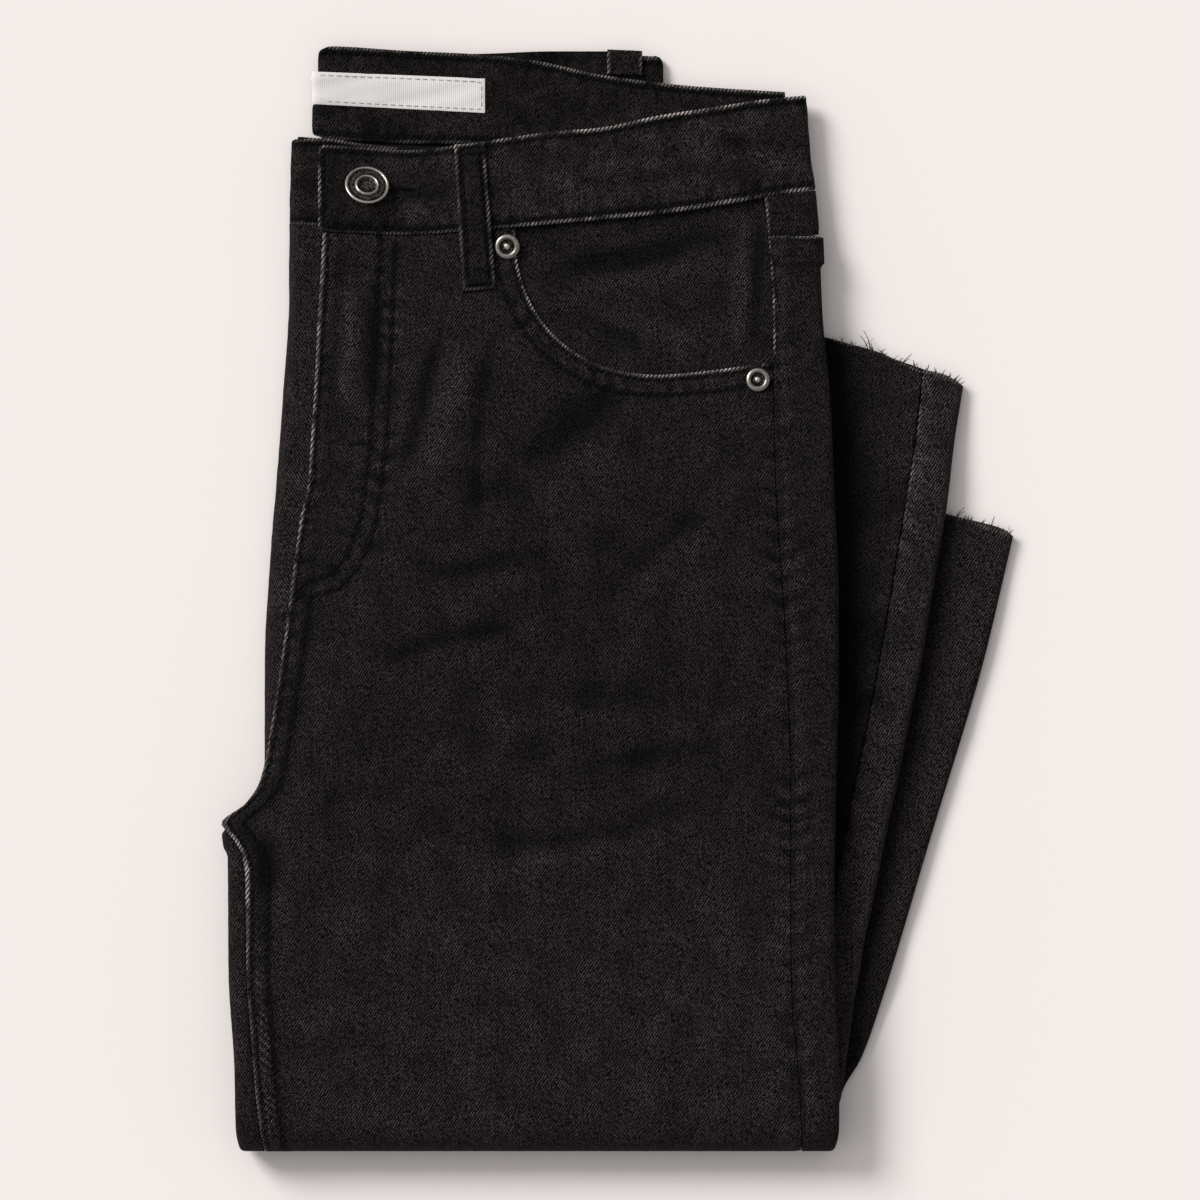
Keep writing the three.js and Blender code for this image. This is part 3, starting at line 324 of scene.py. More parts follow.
def shell(name, x, t, w, middle, relief, weave, rim, worn, tone_and_painted_shading, finish, sewn=0.0, fly=0.0, thickness=CLOTH - 0.1):
    """A closed sheet on a grid of cloth coordinates: its face is raised by relief along its normals,
    its back lies a thickness further in, and both are joined round the rim. Inwards is deeper in the
    stack where w is less than middle, and back up where it is more. weave holds the weave's own
    coordinates, rim the distance to the nearest worn edge, worn how far that edge is worn, tone a
    factor on the colour that holds random mottling and painted shade and light; sewn is 0.5 where one
    row of stitches follows the edge and 1 where two do; fly is 50 plus the distance past the fly's
    outer row."""
    outer, inward = fold(x, t, w), fold(x, t, w + np.where(np.asarray(w) < middle, 0.4, -0.4))
    normal = np.cross(np.gradient(outer, axis=0), np.gradient(outer, axis=1))
    normal /= np.maximum(np.linalg.norm(normal, axis=-1, keepdims=True), 1e-9)
    normal *= -np.sign(((inward - outer) * normal).sum())
    face = outer + normal * relief[..., None]
    back = outer - normal * (thickness - 0.6 * np.clip(relief, -0.4, 1))[..., None]
    # Where rows bunch up at a turn a normal can point down; its point is put back above the board
    face[..., 2], back[..., 2] = np.abs(face[..., 2]), np.abs(back[..., 2])
    rows, cols = outer.shape[:2]
    points = np.concatenate([face.reshape(-1, 3), back.reshape(-1, 3)]) / 1000
    n = np.arange(rows * cols).reshape(rows, cols)
    m = n + rows * cols
    faces = np.concatenate([np.stack(corners, -1).reshape(-1, 4) for corners in (
        (n[:-1, :-1], n[1:, :-1], n[1:, 1:], n[:-1, 1:]), (m[:-1, :-1], m[:-1, 1:], m[1:, 1:], m[1:, :-1]),
        (n[:-1, 0], m[:-1, 0], m[1:, 0], n[1:, 0]), (n[:-1, -1], n[1:, -1], m[1:, -1], m[:-1, -1]),
        (n[0, :-1], n[0, 1:], m[0, 1:], m[0, :-1]), (n[-1, :-1], m[-1, :-1], m[-1, 1:], n[-1, 1:]))])
    first = points[faces[0]]
    if np.dot(np.cross(first[1] - first[0], first[2] - first[0]), normal[0, 0]) < 0:
        faces = faces[:, ::-1]
    mesh = bpy.data.meshes.new(name)
    mesh.vertices.add(len(points))
    mesh.vertices.foreach_set("co", points.ravel())
    mesh.loops.add(faces.size)
    mesh.loops.foreach_set("vertex_index", faces.ravel().astype(np.int32))
    mesh.polygons.add(len(faces))
    mesh.polygons.foreach_set("loop_start", np.arange(0, faces.size, 4, dtype=np.int32))
    mesh.update(calc_edges=True)
    mesh.validate()
    cloth = np.tile(np.stack(weave, -1).reshape(-1, 2), (2, 1))
    mesh.uv_layers.new(name="cloth").data.foreach_set("uv", cloth[faces.ravel()].ravel())
    values = {"rim": rim, "worn": worn, "tone_and_painted_shading": tone_and_painted_shading, "sewn": sewn, "fly": fly}
    set_values(mesh, **{key: np.tile(np.broadcast_to(value, (rows, cols)).ravel(), 2) for key, value in values.items()})
    piece = as_piece(mesh, finish)
    mesh.set_sharp_from_angle(angle=np.radians(55))
    return piece


# Black denim: 3/1 cotton twill of 12 oz, sulphur dyed warp over a grey weft, washed until its
# edges show pale cotton. Matte and a little hairy. Its wales are 0.75 mm apart, drawn 1 mm so
# that they show; the warp runs down the leg, the wales climb to the right at 57 degrees.
# FLY_GAP is the distance between the fly's two rows of stitches.
FLY_GAP = 6.3


def black_denim(name, dark="#030202", body="#0f0c0d", fleck="#594f51", pale="#b5ada8", tufts=0.20):
    """The denim's material: threads from stretched noise and the wales lighten it through a ramp, rows
    of stitches darken it, partly in the thread's colour and partly as painted shade in their grooves,
    the tone attribute darkens and lightens it with random mottling and painted shade and light, and
    its worn rims are bare cotton."""
    made, tree, shader = material(name)
    weave = add(tree, "ShaderNodeUVMap", uv_map="cloth").outputs["UV"]
    rim, sewn, fly, tone_and_painted_shading, worn = [add(tree, "ShaderNodeAttribute", attribute_name=key).outputs["Fac"]
                                  for key in ("rim", "sewn", "fly", "tone_and_painted_shading", "worn")]

    def noise(size, turn=0, detail=1.0):
        way = add(tree, "ShaderNodeMapping", {"Vector": weave, "Rotation": (0, 0, np.radians(turn)),
                                              "Scale": (*size, 1)}, vector_type="TEXTURE")
        grain = add(tree, "ShaderNodeTexNoise", {"Vector": way.outputs[0], "Scale": 1.0, "Detail": detail})
        return grain.outputs["Fac"]

    def math(how, a, b=0.0, c=0.0, **settings):
        return add(tree, "ShaderNodeMath", {0: a, 1: b, 2: c}, operation=how, **settings).outputs[0]

    def about(value, factor, base):
        return math("MULTIPLY_ADD", math("SUBTRACT", value, 0.5), factor, base)

    def ridges(pitch, turn, distortion=0.0):
        way = add(tree, "ShaderNodeMapping", {"Vector": weave, "Rotation": (0, 0, np.radians(turn))})
        wave = add(tree, "ShaderNodeTexWave", {"Vector": way.outputs[0], "Scale": 0.314 / pitch, "Detail": 1.0,
                                               "Distortion": distortion, "Detail Scale": 1.2}, bands_direction="X")
        return wave.outputs["Fac"]

    thread = 0.49
    for source, share in (
            (noise((1.6, 0.42), 57), 1.25), (noise((0.42, 0.42)), 1.5), (noise((6.5, 3.5), 57, detail=2.0), tufts),
            (noise((1.6, 22)), 0.10), (ridges(1.0, 33, 1.2), 0.40)):
        thread = about(source, share, thread)
    ramp = add(tree, "ShaderNodeValToRGB", {"Fac": thread})
    stops = ramp.color_ramp.elements
    stops[0].position, stops[0].color = 0.34, linear(dark)
    stops[1].position, stops[1].color = 0.78, linear(fleck)
    stops.new(0.54).color = linear(body)
    # Cloudy random mottling, times the colour factor from the mesh, which holds painted shade and light
    shade = math("MULTIPLY", about(noise((12, 12), detail=3.0), 0.42, 0.46), tone_and_painted_shading)
    stitch = about(ridges(2.2, 45), -0.5, -0.72)
    one_row = math("MULTIPLY", sewn, 2.0, use_clamp=True)
    two_rows = math("MULTIPLY_ADD", sewn, 2.0, -1.0, use_clamp=True)
    # Rows of stitches darken the denim in dashes: partly the thread's own colour, partly painted shade in the groove
    # that the stitching presses in
    groove = 1.0
    for distance, place, reach, shown in ((rim, 2.1, 1.7, one_row), (rim, 8.4, 1.7, two_rows),
                                          (fly, 50.0, 1.9, 1.0), (fly, 50.0 + FLY_GAP, 1.9, 1.0)):
        row = add(tree, "ShaderNodeMapRange", {"Value": math("ABSOLUTE", math("SUBTRACT", distance, place)),
                                               "From Min": 0.45, "From Max": reach, "To Min": 1.0, "To Max": 0.0})
        groove = math("MULTIPLY_ADD", math("MULTIPLY", row.outputs[0], shown), stitch, groove)
    toned = add(tree, "ShaderNodeMix", {"Factor": 1.0, 6: ramp.outputs["Color"], 7: math("MULTIPLY", shade, groove)},
                data_type="RGBA", blend_type="MULTIPLY")
    reach = about(noise((0.8, 0.8), detail=3.0), 2.4, math("DIVIDE", rim, 1.1))
    bare = add(tree, "ShaderNodeMapRange", {"Value": reach, "From Min": 1.3, "From Max": 0.3}).outputs[0]
    bare = math("MULTIPLY", bare, about(ridges(1.3, 33, 0.8), 1.3, 0.45))
    bare = math("MULTIPLY", bare, about(noise((10, 10), detail=2.0), 4.5, 0.56), use_clamp=True)
    bare = math("MULTIPLY", bare, worn, use_clamp=True)
    colour = add(tree, "ShaderNodeMix", {"Factor": bare, 6: toned.outputs[2], 7: linear(pale)}, data_type="RGBA")
    tree.links.new(colour.outputs[2], shader.inputs["Base Color"])
    for key, value in (("Roughness", 0.92), ("Specular IOR Level", 0.08),
                       ("Sheen Weight", 0.006), ("Sheen Roughness", 0.5)):
        shader.inputs[key].default_value = value
    bump = add(tree, "ShaderNodeBump", {"Height": thread, "Strength": 0.6, "Distance": 0.00045})
    tree.links.new(bump.outputs[0], shader.inputs["Normal"])
    return made


denim = black_denim("black_denim")

POCKET_LEFT, POCKET_LOW, POCKET_TOP, POCKET_BOTTOM, POCKET_POWER = -40.8, 17.2, 148.4, 89.4, 2.2


def pocket_edge(x):
    """Height of the panel's upper edge: under the waistband, then a superellipse down to its
    lowest point, then rising a little to the side seam."""
    share = np.clip((POCKET_LOW - x) / (POCKET_LOW - POCKET_LEFT), 0, 1)
    scoop = POCKET_TOP - (POCKET_TOP - POCKET_BOTTOM) * (1 - share ** POCKET_POWER) ** (1 / POCKET_POWER)
    tail = POCKET_BOTTOM + 5.2 * np.clip((x - POCKET_LOW) / 44, 0, 1) ** 1.4
    return np.where(x <= POCKET_LEFT, front_band_bottom(x) - 0.4, np.where(x >= POCKET_LOW, tail, scoop))


def fly_width(t):
    """Width of the raised strip along the panel's left edge: the fly facing, then the inseam."""
    return 10 + 15 * smooth((FOLD_Y - t - 2) / 34)


# Broad soft folds, the same as the solid's: x, y, heading, length, width, height
BROAD = [(-17, 65, 38, 68, 14, -0.9), (-53, 95, 60, 55, 12, 0.6), (13, 18, 60, 26, 10, -0.5),
         (-59, -17, 8, 90, 16, 0.5), (-23, -53, -6, 100, 18, 0.4), (-95, -121, 70, 80, 16, 0.4),
         (33, -89, 100, 90, 20, 0.4)]
# Sharper creases from wearing: width, height, and the line each runs along
WHISKERS = [
    (9.0, -0.42, [(4, 85), (-13, 73), (-29, 59), (-40, 50)]),
    (11.2, 0.37, [(-2, 63), (-20, 47), (-38, 33)]),
    (3.0, -0.42, [(-46, 114), (-53, 91), (-56, 67), (-57, 23)]),
    (5.5, 0.42, [(-61, 110), (-67, 79), (-75, 52), (-84, 40)]),
    (3.0, -0.5, [(-68, 120), (-74, 95), (-82, 62), (-90, 44)]),
    (3.8, -0.37, [(-82, 7), (-68, 10.5), (-48, 14), (-24, 19)]),
    (4.8, 0.22, [(-80, 1), (-60, 4), (-30, 12)]),
    (3.8, -0.4, [(-104, -29), (-86, -22), (-71, -16.6), (-47, -11.8), (-26, -9.4)]),
    (6.4, 0.22, [(-98, -36), (-70, -25), (-30, -17)]),
    (4.8, -0.37, [(-8, 2), (4, 10), (17, 21), (30, 31), (42, 38)]),
    (6.4, 0.25, [(-2, -5), (12, 6), (28, 18), (46, 28)]),
    (6.4, -0.25, [(-70, 37), (-50, 41), (-31, 44), (-2, 52)]),
    (4.8, -0.25, [(-34, -37), (-10, -39), (12, -38.4), (44, -35)]),
    (4.8, 0.25, [(20, -58), (38, -54), (52, -48.5), (66, -40)]),
    (4.5, -0.34, [(-30, -67.5), (-12, -66.6), (9, -63.8), (38, -57.2), (62, -46)]),
    (4.5, -0.34, [(-66, -92.5), (-47, -96), (-30, -96.8), (1, -93.4), (22, -86.5), (38, -79)]),
    (6.4, 0.25, [(-62, -101), (-30, -105), (2, -101), (30, -90)]),
    (4.8, 0.22, [(-78, -58), (-66, -64), (-56, -74)]),
    (6.4, 0.25, [(24, 8), (34, 0), (40, -14)]),
    (3.5, -0.7, [(-140, -92), (-139.5, -104), (-139, -120)]),
    (3.5, -0.64, [(-96, 136), (-97, 100), (-101, 70)]),
    (3.0, 0.64, [(-107, 136), (-107, 100), (-110, 70)]),
]
FLY_STITCH = [(-88.4, 143), (-90.5, 100), (-92.6, 58), (-96.4, 30), (-102.6, 13.5), (-110.5, 4.6), (-120.4, 0.8)]
fly_way = np.gradient(np.array(FLY_STITCH), axis=0)
FLY_STITCH_INNER = FLY_STITCH + FLY_GAP * np.stack([fly_way[:, 1], -fly_way[:, 0]], -1) / np.hypot(*fly_way.T)[:, None]


def edge_line(curve, inset, high, low_y, count=60):
    """Points along a panel edge on the upper run, moved in by an inset."""
    y = np.linspace(high, low_y, count)
    return np.stack([curve(up(y)) + inset, y], -1)


def pocket_line(out, count=60):
    """Points that lie out of the pocket edge by a distance, from the waist to the side seam."""
    turn = np.linspace(0.03, np.pi / 2, count)
    x = POCKET_LOW - (POCKET_LOW - POCKET_LEFT) * np.cos(turn) ** (2 / POCKET_POWER)
    x = np.concatenate([x, np.linspace(POCKET_LOW, 60, 14)[1:]])
    line = np.stack([x, pocket_edge(x)], -1)
    way = np.gradient(line, axis=0)
    way /= np.linalg.norm(way, axis=1, keepdims=True)
    return line + out * np.stack([way[:, 1], -way[:, 0]], -1)


POCKET_EDGE = pocket_line(0)
CROTCH_STITCH = edge_line(front_edge, 2.4, 2, -66)
CROTCH_STITCH_OUTER = edge_line(front_edge, 8.2, -4, -70)
INSEAM_STITCH = edge_line(front_edge, 1.9, -97, -209)
INSEAM_STITCH_OUTER = edge_line(front_edge, 9.0, -92, -209)
SIDE_SEAM = edge_line(left_leg_seam, 0, 140, -209)
# Line, pitch, reach, height and seed of the puckers along each seam
FRONT_PUCKERS = [
    (FLY_STITCH, 9, 4.5, 0.42, 11), (FLY_STITCH_INNER, 8, 3.5, 0.34, 13), (CROTCH_STITCH, 6.5, 4.5, 0.45, 15),
    (pocket_line(6), 7.5, 4.5, 0.42, 19), (SIDE_SEAM, 8.5, 6.0, 0.42, 21),
    (edge_line(front_edge, 3, 140, 20), 6.5, 4, 0.46, 23)]


def broad_folds(x, y):
    """Relief of the broad folds, fading out towards both edges of the panel and the fold."""
    total = np.zeros(np.broadcast(x, y).shape)
    for cx, cy, heading, length, width, height in BROAD:
        c, s = np.cos(np.radians(heading)), np.sin(np.radians(heading))
        along, over = ((x - cx) * c + (y - cy) * s) / (length / 2), ((y - cy) * c - (x - cx) * s) / (width / 2)
        total += height * np.exp(-along ** 2 - over ** 2)
    t = up(y)
    return total * smooth((x - front_edge(t)) / 20) * smooth((left_leg_seam(t) - x) / 20) * smooth(-t / 40)


def inseam_bumps(x, y):
    """Relief of the felled inseam: slanting bumps 3.6 mm apart between its two rows of stitches."""
    across = x - front_edge(up(y))
    wave = np.sin(2 * np.pi * (y + 0.9 * across) / 3.6 + 1.6 * swell(y, y * 0, 17, 40))
    uneven = 0.6 + 0.6 * swell(y, y * 0, 18, 22)
    return 0.34 * (wave + 0.30) * uneven * bell(across - 5.4, 2.9) * smooth((-128 - y) / 16)


def front_detail(x, y):
    """Relief of the left front's creases and of its drawn-up stitching."""
    return (creases(x, y, WHISKERS) + 0.10 * swell(x, y, 3, 26) + 0.07 * swell(x, y, 5, 9, 2.5, np.radians(75))
            + inseam_bumps(x, y) + sum(puckers(x, y, *row) for row in FRONT_PUCKERS))


def front_relief(x, t):
    """Relief of the left front: its folds and creases, the fly facing and felled inseam that stand
    up along its left edge, the drawn-up stitching, and its rounded edges."""
    y = np.where(t <= 0, FOLD_Y - t, FOLD_Y)
    d = x - front_edge(t)
    width = fly_width(t)
    strip = (0.6 - 0.2 * smooth((y + 20) / 40)) * smooth(1 - t / 10)
    total = broad_folds(x, y) + strip * smooth((width + 0.8 - d) / 1.6) + smooth(1 - t / 6) * front_detail(x, y)
    rim_distance = np.minimum(d, near(x, y, POCKET_EDGE)[0])
    seam = left_leg_seam(t) - x
    return total + rounded(rim_distance, 0.9) + rounded(seam, 0.8) - 0.25 * bell(seam, 2.2)


fly_share = np.concatenate([[0, 0.012, 0.03, 0.055, 0.085], np.linspace(0.12, 1, 23)])
pocket_turn = np.linspace(0, np.pi / 2, 50)
start_80 = front_edge(up(80.0)) + fly_width(up(80.0))
end_80 = left_leg_seam(up(80.0)) - 0.2
fixed_x = np.concatenate([
    np.linspace(-75, POCKET_LEFT - 0.5, 24),
    POCKET_LOW - (POCKET_LOW - POCKET_LEFT) * np.cos(pocket_turn) ** (2 / POCKET_POWER),
    np.linspace(POCKET_LOW, end_80, 30)[1:]])
left_t, right_t = leg_rows(np.arange(80, -209, -1.55), [*np.arange(-209, -160, 7), *np.arange(-160, 25, 18), 25],
                           LEFT_HEM, 16)


def front_columns(t):
    """x of each column at t: close over the fly facing, even to the pocket, then as the pocket's
    curve has them; above y = 80 the last ones stay where they are."""
    t = t[:, None]
    held = np.maximum(t, up(80.0))
    zone = front_edge(t) + fly_width(t) * fly_share
    start, end = front_edge(held) + fly_width(held), left_leg_seam(held) - 0.2
    rest = start + (end - start) * (fixed_x - start_80) / (end_80 - start_80)
    between = zone[:, -1:] + (rest[:, :1] - zone[:, -1:]) * np.linspace(0, 1, 15)[1:-1]
    return np.concatenate([zone, between, rest], 1)


block_y = np.linspace(147, 80, 50)[:-1]
block_share = (np.linspace(0, 1, 50) ** 1.25)[:-1, None]
block_x = front_columns(up(block_y))
block_y = pocket_edge(block_x) * (1 - block_share) + 80 * block_share
left_x, right_x = front_columns(left_t), front_columns(right_t)
k = np.linspace(0, 1, left_x.shape[1])
panel_x = left_x + (right_x - left_x) * k
panel_t = row_t(left_t, right_t, panel_x, left_outline, left_leg_right)
x, t = np.concatenate([block_x, panel_x]), np.concatenate([up(block_y), panel_t])
y = FOLD_Y - np.minimum(t, 0)
rim = np.minimum(x - front_edge(t), near(x, y, POCKET_EDGE)[0])
inseam_top = smooth((-84 - y) / 6) * smooth((y + 150) / 30)
worn = (0.42 + 0.28 * smooth((y - 10) / 30) - 0.14 * smooth((y - 100) / 20) - 0.25 * smooth((-120 - y) / 40)
        + 0.25 * inseam_top)
worn = np.where((x > POCKET_LEFT - 8) & (y > 70), 0.72 + 0.25 * smooth((x + 4) / 14), worn)
detail = np.where(t < 4, front_detail(x, y), 0)
# Painted shade along the deep crease by the pocket, for the colour factor below
painted_crease_shade = bell(near(x, y, WHISKERS[0][2])[0], 10)
front_lines = [FLY_STITCH, FLY_STITCH_INNER, CROTCH_STITCH, CROTCH_STITCH_OUTER, INSEAM_STITCH, INSEAM_STITCH_OUTER,
               pocket_line(2.0), pocket_line(8.4), edge_line(front_edge, 1.8, 142, 8)]
# Colour factor of the left front: lighter towards the fold, the waist and its worn edges, and at random; painted shade
# along the deep crease by the pocket; painted shade in the hollows and painted light on the ridges of the creases and
# inseam bumps, the ridges standing partly for real fading where they rub; darker inside the fly and at the top of the
# inseam
tone_and_painted_shading = ((0.94 + 0.34 * smooth((-60 - y) / 90) + 0.10 * smooth((y - 20) / 60)
         + 0.05 * swell(x, y, 31, 60) - 0.10 * painted_crease_shade)
        * np.clip(1 + 1.5 * detail + 7.0 * inseam_bumps(x, y) * (t < 0), 0.3, 3.0)
        * (1 + 0.60 * bell(rim - 1.2, 2.2) - 0.28 * bell(rim - 7.5, 2.5) * (x < -60))
        * (1 - 0.58 * bell(rim - 6.5, 4.2) * smooth((-88 - y) / 8) * smooth((y + 142) / 14)))
sewn = np.where((y > 2) & (x < -60), 0.5, 1.0)
past, far = near(x, y, FLY_STITCH)
fly_far = np.concatenate([[0], np.cumsum(np.hypot(*np.diff(FLY_STITCH, axis=0).T))])
foot_x, foot_y = [np.interp(far, fly_far, np.array(FLY_STITCH)[:, k]) for k in (0, 1)]
inner_x, inner_y = [np.interp(far, fly_far, FLY_STITCH_INNER[:, k]) for k in (0, 1)]
fly = 50 + past * np.sign((x - foot_x) * (inner_x - foot_x) + (y - foot_y) * (inner_y - foot_y))
left_front = shell("left_front_denim", x, t, 0, 1, front_relief(x, t), (x, grain_down(t)), rim - 0.8 * inseam_top, worn,
                   tone_and_painted_shading, denim, sewn, fly)
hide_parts("left_front")


# Topstitching on the left front: black polyester-cotton thread, about 0.45 mm thick, eight stitches
# to the inch, in twin rows round the fly, the pocket, the crotch and the inseam.
def mottled(name, texture, scale, dark, light, roughness, specular=0.5, bump=None, **settings):
    """A material of two colours mixed by a texture on the object's own coordinates, in metres,
    which also raises the surface where bump gives a strength and a height."""
    made, tree, shader = material(name)
    place = add(tree, "ShaderNodeTexCoord").outputs["Object"]
    grain = add(tree, texture, {"Vector": place, "Scale": scale}, **settings).outputs["Fac"]
    colour = add(tree, "ShaderNodeMix", {"Factor": grain, 6: linear(dark), 7: linear(light)}, data_type="RGBA")
    tree.links.new(colour.outputs[2], shader.inputs["Base Color"])
    if bump:
        raised = add(tree, "ShaderNodeBump", {"Height": grain, "Strength": bump[0], "Distance": bump[1]})
        tree.links.new(raised.outputs[0], shader.inputs["Normal"])
    shader.inputs["Roughness"].default_value = roughness
    shader.inputs["Specular IOR Level"].default_value = specular
    return made


# Sewing thread: plied polyester round cotton, black, with the low sheen of a twisted yarn
sewing_thread = mottled("sewing_thread", "ShaderNodeTexWave", 900.0, "#040303", "#131112", 0.7, 0.12, (0.4, 0.0001),
                        bands_direction="DIAGONAL")
# Length of a stitch, the gap to the next, and the thread's thickness, millimetres
STITCH, STITCH_GAP, THREAD = 2.4, 0.75, 0.46


def between(a, b):
    """Middles, ways and lengths of threads from points a to points b."""
    size = np.linalg.norm(b - a, axis=1)
    return (a + b) / 2, (b - a) / size[:, None], size


def tube(line, radius, side, over, count):
    """Rings of points about lines of points, with a radius at each and two directions across."""
    turn = np.arange(count) * 2 * np.pi / count
    across = np.cos(turn)[:, None] * side[..., None, :] + np.sin(turn)[:, None] * over[..., None, :]
    return line[..., None, :] + radius * across


CAPSULE = np.array([(-0.5, 0.25, -0.30), (-0.38, 0.8, -0.08), (0, 1, 0), (0.38, 0.8, -0.08), (0.5, 0.25, -0.30)])


def capsules(name, parts, radius=THREAD / 2, finish=sewing_thread):
    """Short closed threads: each a six-sided section at five places along its way, swelling as a
    half ellipse and pulled down at both ends. CAPSULE has a row of place, girth and drop for each."""
    middles, ways, lengths = [np.concatenate(part) for part in zip(*parts)]
    along, girth, drop = CAPSULE.T
    side = np.cross(ways, [0.0, 0.0, 1.0])
    side /= np.maximum(np.linalg.norm(side, axis=1, keepdims=True), 1e-9)
    over = np.cross(side, ways)
    line = middles[:, None] + ways[:, None] * (along * lengths[:, None])[..., None] + over[:, None] * drop[:, None]
    points = tube(line, radius * girth[:, None, None], side[:, None], over[:, None], 6).reshape(-1, 3) / 1000
    rings = np.arange(30).reshape(5, 6)
    nxt = np.roll(rings, -1, 1)
    one = np.stack([rings[:-1], nxt[:-1], nxt[1:], rings[1:]], -1).reshape(-1, 4)
    one = np.concatenate([one, [[0, 5, 4, 3], [0, 3, 2, 1], [24, 25, 26, 27], [24, 27, 28, 29]]])
    mesh = bpy.data.meshes.new(name)
    mesh.from_pydata(points, [], (one[None] + 30 * np.arange(len(middles))[:, None, None]).reshape(-1, 4))
    return as_piece(mesh, finish)


def stitched(lines, place, seed):
    """Middles, ways and lengths of the stitches of some lines, laid on a surface by place(x, y)."""
    random = np.random.default_rng(seed)
    parts = []
    for line in lines:
        line = np.asarray(line, float)
        far = np.concatenate([[0], np.cumsum(np.hypot(*np.diff(line, axis=0).T))])
        s = np.arange(0.5 * STITCH, far[-1] - 0.5 * STITCH, STITCH + STITCH_GAP)
        s = s + random.normal(0, 0.06, len(s))
        ends = [[np.interp(s + k * STITCH, far, line[:, j]) for j in (0, 1)] for k in (-0.5, 0.5)]
        parts.append(between(*[place(*end) for end in ends]))
    return [np.concatenate(part) for part in zip(*parts)]


def on_front(x, y):
    """A place on the left front, a thread's radius above the cloth."""
    return fold(x, up(y), -front_relief(x, up(y)) - 0.12)


def bartack(middle, heading, length, width, place):
    """A dense zigzag that locks a seam: threads side by side across its length."""
    c, s = np.cos(np.radians(heading)), np.sin(np.radians(heading))
    along = np.arange(-length / 2, length / 2, 0.5)
    flip = np.where(np.arange(len(along)) % 2, 1, -1) * 0.12
    a = place(middle[0] + along * c - (width / 2) * s, middle[1] + along * s + (width / 2) * c)
    b = place(middle[0] + (along + flip) * c + (width / 2) * s, middle[1] + (along + flip) * s - (width / 2) * c)
    at, ways, sizes = between(a, b)
    return at + [0, 0, 0.12], ways, sizes


front_threads = capsules("left_front_stitching", [
    stitched(front_lines, on_front, 41), bartack((-124.8, 15.4), 4, 7.6, 2, on_front),
    bartack((-104.0, 62.0), 8, 6.5, 1.8, on_front)])


# Left back: the panel that the side seam joins to the left front. It turns under at the side, and
# its lower leg lies lowest, its raw hem and side showing to the right of the folded stack.
def turned(edge, side, w0, w1, count):
    """x and w of a half turn of cloth about an edge, from depth w0 to w1."""
    angle, r = np.linspace(0, np.pi, count), abs(w1 - w0) / 2
    return edge - side * r + side * r * np.sin(angle), (w0 + w1) / 2 + (w0 - w1) / 2 * np.cos(angle)


def joined(*runs):
    """x and w of one row of a sheet, from runs of x with the depth that each lies at."""
    return np.concatenate([run for run, _ in runs]), np.concatenate([run * 0 + depth for run, depth in runs])


def y_of(t):
    """y of t on both runs; all through the bottom fold it stays where the fold starts."""
    return np.where(t <= FOLD_LENGTH, FOLD_Y - np.minimum(t, 0), FOLD_Y + t - FOLD_LENGTH)


def wavy_hem(x, t, right_t, rise, reach, where=1):
    """t with the last rows moved out to the wavy line of a cut hem, from a table of x and rise."""
    return t + np.interp(x, *rise) * where * np.exp(-(right_t[-1] - right_t)[:, None] / reach) * (t > FOLD_LENGTH)


YOKE_TOP, YOKE_WIDTH = 145.2, 11.6
# x along the raw hem, and how far the cut waves out there
LEFT_HEM_RISE = [110, 131, 137, 146, 152, 156, 159], [0, 0.6, 0.9, 1.5, 1.8, 1.4, 0]
# t of the right leg's rows, x of its right edge and of its side seam. From row 11 on they are the
# lower run's, whose edge bounds a shadow painted on the leg that lies under it.
RIGHT_LEG = np.array([
    (up(216), 18.4, 2.4), (up(184), 33.0, 16.0), (up(147), 49.2, 32.0), (up(113), 60.0, 42.0),
    (up(79), 69.2, 51.0), (up(40), 75.0, 56.5), (up(0), 79.2, 60.5), (up(-120), 83.2, 66.0),
    (up(-200), 85.2, 69.0), (0, 85.2, 69.2), (FOLD_LENGTH, 85.4, 69.6), (low(-200), 89.6, 73.4),
    (low(-176), 93.0, 76.6), (low(-149), 97.0, 80.6), (low(-108), 105.2, 88.8), (low(-25), 122.0, 105.6),
    (low(5), 127.0, 110.6), (low(34), 131.6, 115.4), (low(64), 135.4, 120.0), (low(85), 138.8, 122.4)])
right_leg_edge = track(RIGHT_LEG[11:, [0, 1]])


def side_sections(left_t, right_t, raised, under_count):
    """The left leg's strip beside the seam, its turn and the part turned under, one row per t."""
    reach = 12 + 34 * smooth((right_t - FOLD_LENGTH) / 150)
    rows = []
    for e, s, r, h in zip(left_leg_right(right_t), left_leg_seam(right_t) + 0.2, reach, raised):
        bulge, radius = e + 2 * h, (LEG + h) / 2
        strip = s + (bulge - radius - s) * np.linspace(0, 1, 14)[:-1]
        under = np.linspace(bulge - radius, e - r, under_count)[1:]
        rows.append(joined((strip, -h), turned(bulge, 1, -h, LEG, 12), (under, LEG)))
    x, w = np.array(rows).transpose(1, 0, 2)
    return x, row_t(left_t, right_t, x, left_outline, left_leg_right), w


